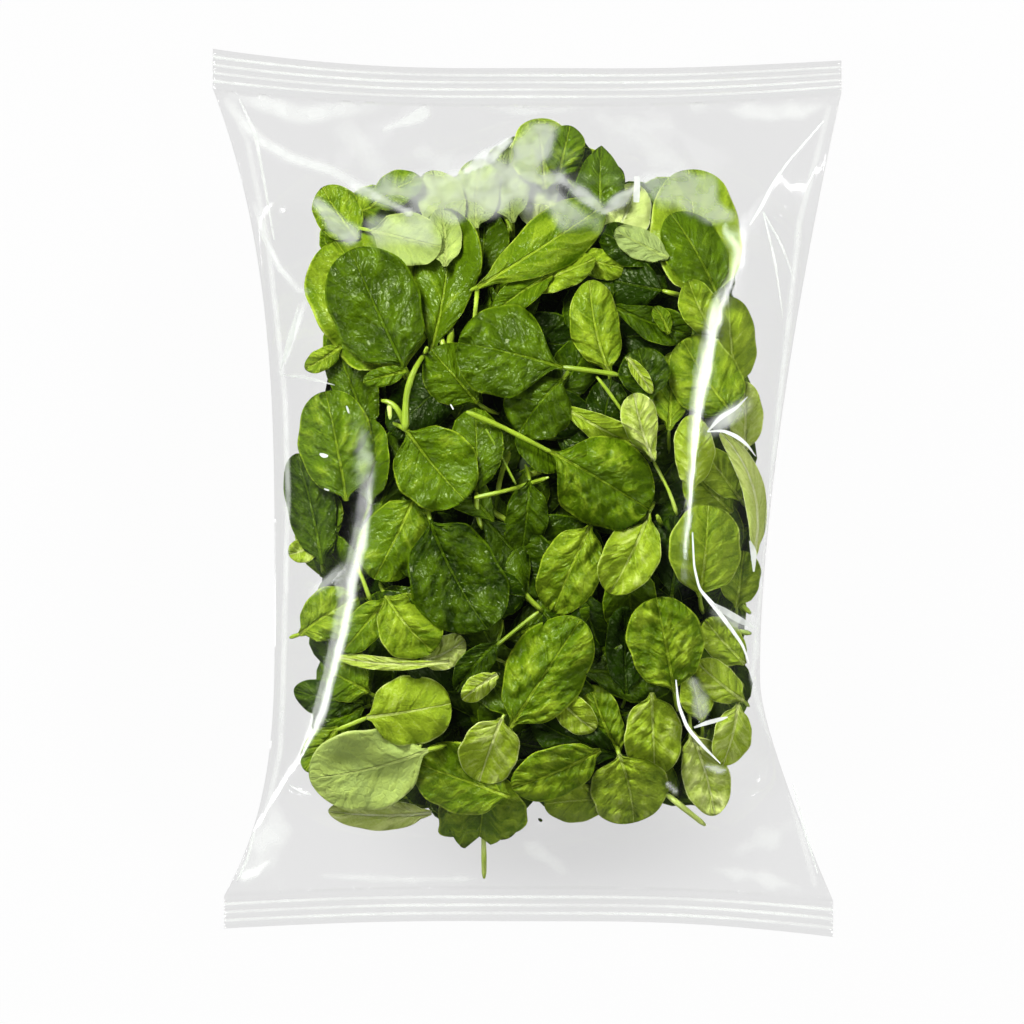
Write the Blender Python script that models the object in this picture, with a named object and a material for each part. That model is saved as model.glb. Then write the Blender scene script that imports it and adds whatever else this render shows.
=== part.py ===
# A sealed pillow bag of baby spinach, lying on its back with the shown side up.
# It is one closed solid: the film is clear and shut, so nothing inside is a piece of its own.
# Units are metres and +Z is up. X runs across the bag, and Y runs from the foot seal to the head seal.

import math

import bmesh
import bpy

# The whole bag
BAG_WIDTH = 0.225  # across the head seal, the widest place
BAG_LENGTH = 0.318  # from corner to corner along Y
BAG_THICKNESS = 0.072  # from the table to the top of the heap inside
FILM_EDGE = 0.0012  # how thick the flat edges and seals are, both films together

# The two crimped seals. Their middles are drawn in by the filling, and their corners reach further out.
HEAD_SEAL = {
    "inner": 0.1392,
    "inner_rise": (0.0054, 0.0040),  # at the left corner and at the right corner
    "outer": 0.1520,
    "outer_rise": (BAG_LENGTH / 2 - 0.1520, 0.0028),
    "half_width": (BAG_WIDTH / 2, BAG_WIDTH / 2),
    "ridges": 5,
    "height": 0.0115,  # above the table
    "wave": 0.0022,
}
FOOT_SEAL = {
    "inner": -0.1417,
    "inner_rise": (-0.0025, -0.0043),
    "outer": -0.1533,
    "outer_rise": (-0.0027, 0.1533 - BAG_LENGTH / 2),
    "half_width": (0.1085, 0.1096),
    "ridges": 4,
    "height": 0.0095,
    "wave": 0.0018,
}
SEAL_BOW = 2.5  # how late the corners turn outwards
RIDGE_DEPTH = 0.0006

# The sides are drawn in between the seals: half width and place of each waist
LEFT_WAIST = {"half_width": 0.0900, "y": -0.038, "bow": (3.0, 3.0)}
RIGHT_WAIST = {"half_width": 0.0830, "y": -0.065, "bow": (1.2, 1.55)}  # towards the foot, towards the head
WAIST_SOFTNESS = 0.008  # rounds the turn at a waist
SIDE_HEIGHT = 0.026  # the side folds above the table, at the waist

# The pillow between the seals
END_FULLNESS = 2.3  # a higher power keeps the pillow thick for longer towards the seals
SIDE_FULLNESS = 2.6
SIDE_ROUNDNESS = 0.55
EAR_SHARPNESS = 1.7  # how soon the corners beside the seals go flat
BELLY_SPREAD = 1.9  # more than 1 lays the middle of the back flat on the table

# Leaves press lumps into the front film: height and pitch
LUMP_HEIGHT = 0.0022
LUMP_PITCH = (0.043, 0.051)

# Long folds of the film: start, end, sideways bow of the middle, height and half width
FOLDS = (
    ((-0.060, 0.020), (-0.086, -0.100), 0.004, 0.0030, 0.0060),
    ((0.084, 0.100), (0.058, -0.030), -0.006, 0.0036, 0.0055),
    ((0.060, -0.034), (0.074, -0.064), 0.002, 0.0028, 0.0050),
    ((0.054, -0.066), (0.068, -0.096), 0.003, 0.0026, 0.0050),
    ((-0.106, 0.139), (-0.044, 0.100), -0.007, 0.0034, 0.0055),
    ((-0.098, 0.103), (-0.080, 0.072), -0.004, 0.0022, 0.0050),
    ((0.104, 0.136), (0.088, 0.102), 0.002, 0.0026, 0.0050),
    ((-0.104, -0.138), (-0.086, -0.100), 0.003, 0.0026, 0.0055),
    ((0.104, -0.140), (0.084, -0.104), -0.003, 0.0026, 0.0055),
)
# Short gathers that run from each seal into the pillow
GATHERS = 9
GATHER_HEIGHT = 0.0011
GATHER_REACH = 0.16  # as a share of the way to the other seal

# How finely the skin is divided
COLUMNS = 38
PILLOW_ROWS = 42
ROWS_PER_RIDGE = 2
END_ROWS_CLOSER = 0.35  # 0 spaces the pillow's rows evenly

FILM_COLOUR = (0.33, 0.45, 0.12, 1.0)  # clear film with the leaves behind it
FILM_ROUGHNESS = 0.2


def mix(a, b, share):
    return a + (b - a) * share


def smooth(value):
    value = min(max(value, 0.0), 1.0)
    return value * value * (3.0 - 2.0 * value)


def side_of(u, pair):
    """The left or the right value of a pair, by the side that u is on."""
    return pair[0] if u < 0 else pair[1]


def seal_line(seal, line, u):
    """Y of a seal's inner or outer edge, at a place across the bag from -1 to 1."""
    return seal[line] + side_of(u, seal[line + "_rise"]) * abs(u) ** SEAL_BOW


def rounded_distance(distance):
    """A distance without its sign, with the turn at 0 made round."""
    return math.hypot(distance, WAIST_SOFTNESS) - WAIST_SOFTNESS


def half_width(u, y):
    """Half width of the pillow on u's side: narrowest at the waist, widest where it meets a seal."""
    waist = LEFT_WAIST if u < 0 else RIGHT_WAIST
    side = -1.0 if u < 0 else 1.0
    seal = HEAD_SEAL if y > waist["y"] else FOOT_SEAL
    bow = waist["bow"][1] if y > waist["y"] else waist["bow"][0]
    reach = rounded_distance(seal_line(seal, "inner", side) - waist["y"])
    share = min(rounded_distance(y - waist["y"]) / reach, 1.0)
    return mix(waist["half_width"], side_of(u, seal["half_width"]), share**bow)


def seal_height(seal, u):
    """Height of a seal's underside above the table: the strip waves gently across the bag."""
    return seal["height"] + seal["wave"] * math.cos(2.2 * math.pi * u)


def row_places():
    """Each row of the skin as the stretch it is in and its share of that stretch, from the foot to the head."""
    rows = []
    foot_rows = FOOT_SEAL["ridges"] * ROWS_PER_RIDGE
    head_rows = HEAD_SEAL["ridges"] * ROWS_PER_RIDGE
    for row in range(foot_rows):
        rows.append(("foot", row / foot_rows))
    for row in range(PILLOW_ROWS + 1):
        even = row / PILLOW_ROWS
        closer = 0.5 - 0.5 * math.cos(math.pi * even)
        rows.append(("pillow", mix(even, closer, END_ROWS_CLOSER)))
    for row in range(1, head_rows + 1):
        rows.append(("head", row / head_rows))
    return rows


def column_place(column):
    """Place across the bag from -1 to 1, with columns closer together towards the sides."""
    even = 2.0 * column / COLUMNS - 1.0
    return mix(even, math.sin(0.5 * math.pi * even), 0.6)


def fold_height(x, y):
    """Height that the long folds add to the front film."""
    total = 0.0
    for (x0, y0), (x1, y1), bow, height, half in FOLDS:
        run_x = x1 - x0
        run_y = y1 - y0
        length = math.hypot(run_x, run_y)
        along = ((x - x0) * run_x + (y - y0) * run_y) / length**2
        across = ((x - x0) * run_y - (y - y0) * run_x) / length
        along_shown = min(max(along, 0.0), 1.0)
        across -= bow * 4.0 * along_shown * (1.0 - along_shown)
        past_end = abs(along - along_shown) * length
        taper = math.sin(math.pi * mix(0.08, 0.92, along_shown))
        total += height * taper * math.exp(-((across / half) ** 2) - (past_end / half) ** 2)
    return total


def lump_height(x, y):
    """Low lumps of two crossing pitches, where leaves press on the front film."""
    wave_x = math.sin(2.0 * math.pi * x / LUMP_PITCH[0] + 3.0 * math.sin(y / LUMP_PITCH[1]))
    wave_y = math.sin(2.0 * math.pi * y / LUMP_PITCH[1] + 2.0 * math.sin(x / LUMP_PITCH[0]))
    return LUMP_HEIGHT * wave_x * wave_y


def gather_height(u, share):
    """Small pleats that start at each seal and die out in the pillow."""
    from_end = min(share, 1.0 - share) / GATHER_REACH
    fade = smooth(from_end * 4.0) * (1.0 - smooth(from_end))
    return GATHER_HEIGHT * fade * math.cos(2.0 * math.pi * GATHERS * 0.5 * u + 4.0 * share)


def seal_point(seal, share, u, front):
    """A point of a crimped strip: both films follow the same ridges."""
    x = u * side_of(u, seal["half_width"])
    y = mix(seal_line(seal, "inner", u), seal_line(seal, "outer", u), share)
    step = round(share * seal["ridges"] * ROWS_PER_RIDGE)
    ridge = RIDGE_DEPTH if step % ROWS_PER_RIDGE else 0.0
    z = seal_height(seal, u) + ridge
    return (x, y, z + FILM_EDGE if front else z)


def pillow_point(share, u, front):
    """A point of the front or back film between the seals."""
    rim = -1.0 if u < 0 else 1.0
    rim_y = mix(seal_line(FOOT_SEAL, "inner", rim), seal_line(HEAD_SEAL, "inner", rim), share)
    x = u * half_width(u, rim_y)
    y = mix(seal_line(FOOT_SEAL, "inner", u), seal_line(HEAD_SEAL, "inner", u), share)

    fullness = 1.0 - abs(2.0 * share - 1.0) ** END_FULLNESS
    round_side = (1.0 - abs(u) ** SIDE_FULLNESS) ** SIDE_ROUNDNESS
    flat_ear = math.cos(0.5 * math.pi * u) ** EAR_SHARPNESS
    profile = mix(flat_ear, round_side, smooth(1.4 * fullness))

    seal_z = mix(seal_height(FOOT_SEAL, u), seal_height(HEAD_SEAL, u), share)
    rim_z = mix(seal_z, SIDE_HEIGHT, smooth(fullness))
    belly = smooth(BELLY_SPREAD * fullness * profile)
    back_z = rim_z * (1.0 - belly)
    if not front:
        return (x, y, back_z)
    relief = fold_height(x, y) + lump_height(x, y) * fullness
    cover = (BAG_THICKNESS - rim_z) * fullness * profile
    inside_rim = smooth(4.0 * (1.0 - abs(u))) * smooth(6.0 * fullness)
    front_z = rim_z + cover + relief * inside_rim + gather_height(u, share) * inside_rim
    return (x, y, max(front_z, back_z) + FILM_EDGE)


def skin_point(u, place, front):
    """Where a point of the grid goes: on the foot seal, the pillow or the head seal."""
    stretch, share = place
    if stretch == "foot":
        return seal_point(FOOT_SEAL, 1.0 - share, u, front)
    if stretch == "head":
        return seal_point(HEAD_SEAL, share, u, front)
    return pillow_point(share, u, front)


def film_material():
    """Clear, glossy film, coloured by the leaves that show through it."""
    material = bpy.data.materials.new("film_over_leaves")
    material.use_nodes = True
    shader = material.node_tree.nodes["Principled BSDF"]
    shader.inputs["Base Color"].default_value = FILM_COLOUR
    shader.inputs["Roughness"].default_value = FILM_ROUGHNESS
    shader.inputs["Metallic"].default_value = 0.0
    return material


def make_bag(collection):
    """A flat grid is extruded into a thin slab, whose two sides become the back and the front film."""
    rows = row_places()
    bm = bmesh.new()
    bmesh.ops.create_grid(bm, x_segments=COLUMNS, y_segments=len(rows) - 1, size=1.0)
    back = list(bm.verts)
    raised = bmesh.ops.extrude_face_region(bm, geom=list(bm.faces), use_keep_orig=True)
    front = [item for item in raised["geom"] if isinstance(item, bmesh.types.BMVert)]
    for verts, is_front in ((back, False), (front, True)):
        for vert in verts:
            column = round((vert.co.x + 1.0) * 0.5 * COLUMNS)
            row = round((vert.co.y + 1.0) * 0.5 * (len(rows) - 1))
            vert.co = skin_point(column_place(column), rows[row], is_front)

    top = max(vert.co.z for vert in bm.verts)
    for vert in bm.verts:
        vert.co.z *= BAG_THICKNESS / top
    bmesh.ops.recalc_face_normals(bm, faces=bm.faces)

    mesh = bpy.data.meshes.new("spinach_bag")
    bm.to_mesh(mesh)
    bm.free()
    mesh.shade_smooth()
    mesh.set_sharp_from_angle(angle=math.radians(50.0))
    mesh.materials.append(film_material())
    bag = bpy.data.objects.new("spinach_bag", mesh)
    collection.objects.link(bag)
    return bag


def main():
    for old in list(bpy.data.objects):
        bpy.data.objects.remove(old, do_unlink=True)
    collection = bpy.data.collections.new("bag_of_spinach")
    bpy.context.scene.collection.children.link(collection)
    make_bag(collection)


main()
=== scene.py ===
import math

import bmesh
import bpy
import numpy as np
from mathutils import Matrix, noise, Vector


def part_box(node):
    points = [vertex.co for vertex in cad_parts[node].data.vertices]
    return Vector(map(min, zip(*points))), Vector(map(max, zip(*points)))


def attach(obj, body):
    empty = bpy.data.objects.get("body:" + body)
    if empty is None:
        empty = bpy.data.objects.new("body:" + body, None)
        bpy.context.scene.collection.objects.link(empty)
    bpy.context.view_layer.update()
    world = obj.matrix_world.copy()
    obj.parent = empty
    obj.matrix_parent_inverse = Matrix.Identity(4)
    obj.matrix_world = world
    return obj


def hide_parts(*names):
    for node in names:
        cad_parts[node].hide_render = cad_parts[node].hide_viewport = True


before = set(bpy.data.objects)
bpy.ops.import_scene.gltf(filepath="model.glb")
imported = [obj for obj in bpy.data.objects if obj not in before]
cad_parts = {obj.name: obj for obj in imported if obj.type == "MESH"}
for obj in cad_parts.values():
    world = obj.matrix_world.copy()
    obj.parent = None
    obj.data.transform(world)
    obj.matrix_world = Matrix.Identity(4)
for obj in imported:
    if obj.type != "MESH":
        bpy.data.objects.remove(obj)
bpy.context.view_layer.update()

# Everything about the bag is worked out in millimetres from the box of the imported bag
mm = 0.001
_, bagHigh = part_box("spinach_bag")
halfWide = bagHigh.x / mm
halfLong = bagHigh.y / mm
tall = bagHigh.z / mm


def hexColor(code):
    channels = [int(code[i:i + 2], 16) / 255 for i in (1, 3, 5)]
    linear = [c / 12.92 if c <= 0.04045 else ((c + 0.055) / 1.055) ** 2.4 for c in channels]
    return (*linear, 1.0)


def smooth(value):
    value = np.clip(value, 0.0, 1.0)
    return value * value * (3.0 - 2.0 * value)


def mix(a, b, share):
    return a + (b - a) * share


def noiseAt(x, y, level):
    return np.array([noise.noise(Vector((a, b, level))) for a, b in zip(x, y)])


def reachAlong(path):
    # distance from the start of a path to each of its points
    return np.concatenate(([0], np.cumsum(np.hypot(*np.diff(path[:, :2], axis=0).T))))


def ease(values, rounds):
    # softens the bends of a path but keeps its ends
    values = values.copy()
    for _ in range(rounds):
        values[1:-1] = (values[:-2] + 2 * values[1:-1] + values[2:]) / 4
    return values


def addNode(material, kind, settings=None, links=None):
    # one node with its settings; links go socket name or number -> node, (node, output) or value
    node = material.node_tree.nodes.new("ShaderNode" + kind)
    for name, value in (settings or {}).items():
        setattr(node, name, value)
    for socket, source in (links or {}).items():
        if isinstance(source, bpy.types.Node):
            source = (source, 0)
        if isinstance(source, tuple) and isinstance(source[0], bpy.types.Node):
            material.node_tree.links.new(source[0].outputs[source[1]], node.inputs[socket])
        else:
            node.inputs[socket].default_value = source
    return node


def newMaterial(name):
    material = bpy.data.materials.new(name)
    material.use_nodes = True
    material.node_tree.nodes.clear()
    return material


def addLayers(bm, *names):
    return [bm.verts.layers.float.new(name) for name in names]


def readLayer(bm, layer):
    return np.array([vert[layer] for vert in bm.verts])


def finishPiece(bm, name, material, slotName, replaced=None):
    # turns a bmesh in millimetres into a smooth-shaded piece that rides on the bag
    bmesh.ops.scale(bm, vec=(mm, mm, mm), verts=bm.verts)
    mesh = bpy.data.meshes.new(name)
    bm.to_mesh(mesh)
    bm.free()
    mesh.shade_smooth()
    mesh.materials.append(material)
    piece = bpy.data.objects.new(name, mesh)
    bpy.context.scene.collection.objects.link(piece)
    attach(piece, "root")
    lightGroups["film" if slotName == "film" else "leaves"].objects.link(piece)
    if replaced:
        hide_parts(replaced)
    print(name, len(mesh.vertices), "vertices", sum(len(p.vertices) - 2 for p in mesh.polygons), "triangles")


# camera, floor and lights, in metres
studio = {
    "cameraHeight": 3.0,
    "viewWidth": 0.3656,  # how wide the view is,
    "viewLevel": 0.020,  # measured at this height
    "viewCentre": (-0.0054, -0.0068),
    "floorSize": 8.0,
    "floorGlow": 0.965,  # the sweep is lit from below, so that it stays white right up to the bag
    "floorColor": "#404040",
    "shadeCentre": (0.014, -0.121, 0.0),  # the heap's soft shadow, kept under the foot of the bag
    "shadeReach": (0.085, 0.034, 1.0),
    "shadeGlow": 0.84,  # share of the floor's glow that is left in the middle of the shadow
    "wallBrightness": 0.15,
    "footBrightness": 0.12,  # the part of the walls beyond the foot of the bag
    "ceilingBrightness": 0.02,
    # shape, both ends of its middle line, width, radiance, and what it does: "all", "soft" without reflections,
    # "leaves" only or "film" only
    "lights": {
        "leftStrip": ("ELLIPSE", (-1.0, 0.07, 0.80), (-1.0, -0.52, 0.04), 0.09, 13.0, "all"),
        "leftGlow": ("ELLIPSE", (-1.0, 0.07, 0.74), (-1.0, -0.50, 0.02), 0.22, 6.0, "all"),
        "rightThinStrip": ("ELLIPSE", (0.8, 1.45, 0.63), (0.8, -0.11, 0.44), 0.035, 20.0, "all"),
        "rightStrip": ("ELLIPSE", (0.8, 0.38, 0.585), (0.8, -0.10, 0.44), 0.075, 13.0, "all"),
        "rightGlow": ("ELLIPSE", (0.8, 0.42, 0.59), (0.8, -0.06, 0.47), 0.16, 5.0, "all"),
        "headWindow": ("ELLIPSE", (-0.21, 1.0, 0.17), (0.25, 1.0, 0.17), 0.14, 0.5, "all"),
        "ceilingFill": ("RECTANGLE", (-1.2, 0.3, 2.6), (1.2, 0.3, 2.6), 2.4, 0.2, "soft"),
        "filmFill": ("RECTANGLE", (-1.2, 0.0, 2.4), (1.2, 0.0, 2.4), 2.4, 4.4, "film"),
        "keySoftbox": ("RECTANGLE", (-0.78, 0.95, 1.05), (-0.34, 0.95, 1.05), 0.44, 86.0, "leaves"),
        "sheenSoftbox": ("RECTANGLE", (-0.72, 0.67, 1.7), (-0.28, 0.67, 1.7), 0.44, 15.0, "leaves"),
        "footSoftbox": ("RECTANGLE", (0.5, -0.75, 1.1), (0.95, -0.45, 1.1), 0.5, 9.0, "leaves"),
    },
}


def makeStudio():
    camera = bpy.data.objects.new("camera", bpy.data.cameras.new("camera"))
    distance = studio["cameraHeight"] - studio["viewLevel"]
    camera.data.sensor_width = 36.0
    camera.data.lens = 36.0 * distance / studio["viewWidth"]
    camera.location = (*studio["viewCentre"], studio["cameraHeight"])
    camera.data.clip_end = 100.0
    bpy.context.scene.collection.objects.link(camera)
    bpy.context.scene.camera = camera

    bm = bmesh.new()
    bmesh.ops.create_grid(bm, x_segments=1, y_segments=1, size=studio["floorSize"] / 2)
    mesh = bpy.data.meshes.new("floor")
    bm.to_mesh(mesh)
    bm.free()
    paper = newMaterial("whitePaperSweep")  # matt white studio paper over a light table, with a painted shadow under the foot of the bag
    coords = addNode(paper, "TexCoord")
    # painted shadow: the floor's glow is dimmed in a soft patch under the foot of the bag
    moved = addNode(paper, "Mapping", {"vector_type": "TEXTURE"},
                    {0: (coords, "Object"), "Location": studio["shadeCentre"], "Scale": studio["shadeReach"]})
    reach = addNode(paper, "VectorMath", {"operation": "LENGTH"}, {0: moved})
    glow = addNode(paper, "MapRange", {"interpolation_type": "SMOOTHSTEP"},
                   {0: (reach, "Value"), 1: 0.2, 2: 1.0,
                    3: studio["floorGlow"] * studio["shadeGlow"], 4: studio["floorGlow"]})
    skin = addNode(paper, "BsdfPrincipled",
                   links={"Base Color": hexColor(studio["floorColor"]), "Roughness": 0.9, "Specular IOR Level": 0.1,
                          "Emission Color": hexColor("#FFFFFF"), "Emission Strength": glow})
    addNode(paper, "OutputMaterial", links={"Surface": skin})
    mesh.materials.append(paper)
    floor = bpy.data.objects.new("floor", mesh)
    floor.location.z = -0.5 * mm
    floor.visible_glossy = False  # so that the steep sides of the film don't veil the leaves with white
    bpy.context.scene.collection.objects.link(floor)

    linked = {name: bpy.data.collections.new(name + "Only") for name in ("leaves", "film")}
    for name, (shape, start, end, width, radiance, use) in studio["lights"].items():
        start, end = Vector(start), Vector(end)
        light = bpy.data.lights.new(name, "AREA")
        light.shape = shape
        light.size, light.size_y = (end - start).length, width
        area = light.size * width * (math.pi / 4 if shape == "ELLIPSE" else 1.0)
        light.energy = radiance * math.pi * area
        lamp = bpy.data.objects.new(name, light)
        middle = (start + end) / 2
        longWay = (end - start).normalized()
        backward = middle - Vector((0, 0, 0.03))
        backward = (backward - backward.dot(longWay) * longWay).normalized()
        lamp.matrix_world = Matrix((longWay, backward.cross(longWay), backward)).transposed().to_4x4()
        lamp.location = middle
        lamp.visible_camera = False
        lamp.visible_glossy = use not in ("soft", "film")
        if use in linked:
            lamp.light_linking.receiver_collection = linked[use]
        bpy.context.scene.collection.objects.link(lamp)

    # bright walls, dark beyond the foot, and a dark ceiling, so that the flat top of the bag stays clear
    world = bpy.data.worlds.new("studioWorld")
    world.use_nodes = True
    world.node_tree.nodes.clear()
    direction = addNode(world, "TexCoord")
    split = addNode(world, "SeparateXYZ", links={0: (direction, "Generated")})
    wall = addNode(world, "MapRange", {"interpolation_type": "SMOOTHSTEP"},
                   {0: (split, 1), 1: -0.9, 2: 0.3, 3: studio["footBrightness"], 4: studio["wallBrightness"]})
    height = addNode(world, "MapRange", {"interpolation_type": "SMOOTHSTEP"},
                     {0: (split, 2), 1: 0.05, 2: 0.35, 3: wall, 4: studio["ceilingBrightness"]})
    air = addNode(world, "Background", links={"Color": hexColor("#FFFFFF"), "Strength": height})
    addNode(world, "OutputWorld", links={"Surface": air})
    bpy.context.scene.world = world
    bpy.context.scene.view_settings.view_transform = "Standard"
    return linked


# the bag's shape, shared by the film, the seals and the heap of leaves, in millimetres
headSeal = {
    "inner": halfLong - 19.8,
    "innerRise": (5.4, 4.0),  # how much further out its left and right corners are
    "outer": halfLong - 7.0,
    "outerRise": (7.0, 2.8),
    "halfWidth": (halfWide, halfWide),
    "ridges": 5,
    "height": 11.5,
    "wave": 2.2,
}
footSeal = {
    "inner": 17.3 - halfLong,
    "innerRise": (-2.5, -4.3),
    "outer": 5.7 - halfLong,
    "outerRise": (-2.7, -5.7),
    "halfWidth": (halfWide - 4.0, halfWide - 2.9),
    "ridges": 4,
    "height": 9.5,
    "wave": 1.8,
}
pillow = {
    "sealBow": 2.5,
    "waist": ((90.0, -38.0), (83.0, -65.0)),  # half width and place along the bag, left and right
    "footBow": (3.0, 1.2),
    "headBow": (3.0, 1.55),
    "waistSoftness": 8.0,
    "rimHeight": 26.0,
    "endFullness": 2.3,
    "headSideFullness": (3.2, 3.2),
    "footSideFullness": (4.8, 4.0),
    "sideRoundness": 0.88,
    "footSideReach": 0.55,  # share of the length over which the foot's side fullness turns into the head's
    "earSharpness": 1.7,
    "earReach": 1.4,  # the larger, the shorter the flat ears at the corners
    "bellySpread": 1.9,
    "foldRoom": 2.0,  # height left free for folds on top of the front
}


def bySide(u, pair):
    return np.where(u < 0, pair[0], pair[1])


def sealLine(seal, line, u):
    return seal[line] + bySide(u, seal[line + "Rise"]) * np.abs(u) ** pillow["sealBow"]


def roundedDistance(distance):
    soft = pillow["waistSoftness"]
    return np.hypot(distance, soft) - soft


def halfWidthAt(u, y):
    # half width of the pillow on u's side: narrowest at the waist, widest where it meets a seal
    (leftWaist, leftY), (rightWaist, rightY) = pillow["waist"]
    waist, waistY = bySide(u, (leftWaist, rightWaist)), bySide(u, (leftY, rightY))
    side = np.where(u < 0, -1.0, 1.0)
    toHead = y > waistY
    sealY = np.where(toHead, sealLine(headSeal, "inner", side), sealLine(footSeal, "inner", side))
    sealHalf = np.where(toHead, bySide(u, headSeal["halfWidth"]), bySide(u, footSeal["halfWidth"]))
    bow = np.where(toHead, bySide(u, pillow["headBow"]), bySide(u, pillow["footBow"]))
    share = np.clip(roundedDistance(y - waistY) / roundedDistance(sealY - waistY), 0, 1)
    return mix(waist, sealHalf, share ** bow)


def sealHeight(seal, u):
    return seal["height"] + seal["wave"] * np.cos(2.2 * math.pi * u)


def bagPlace(u, along):
    # x and y of a point on the pillow, from -1 to 1 across and 0 to 1 from foot to head
    y = mix(sealLine(footSeal, "inner", u), sealLine(headSeal, "inner", u), along)
    return u * halfWidthAt(u, y), y


def acrossAlong(x, y):
    u = np.clip(x / halfWidthAt(x, y), -1, 1)
    foot, head = sealLine(footSeal, "inner", u), sealLine(headSeal, "inner", u)
    return u, np.clip((y - foot) / (head - foot), 0, 1)


def pillowHeights(u, along):
    # heights of the back and of the front film, before any folds
    fullness = 1 - np.abs(2 * along - 1) ** pillow["endFullness"]
    headSide, footSide = bySide(u, pillow["headSideFullness"]), bySide(u, pillow["footSideFullness"])
    sideFullness = mix(footSide, headSide, smooth(along / pillow["footSideReach"]))
    roundSide = (1 - np.abs(u) ** sideFullness) ** pillow["sideRoundness"]
    flatEar = np.cos(0.5 * math.pi * np.clip(u, -1, 1)) ** pillow["earSharpness"]
    profile = mix(flatEar, roundSide, smooth(pillow["earReach"] * fullness))
    sealZ = mix(sealHeight(footSeal, u), sealHeight(headSeal, u), along)
    rimZ = mix(sealZ, pillow["rimHeight"], smooth(fullness))
    belly = smooth(pillow["bellySpread"] * fullness * profile)
    back = rimZ * (1 - belly)
    front = rimZ + (tall - pillow["foldRoom"] - rimZ) * fullness * profile
    return back, front


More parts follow.
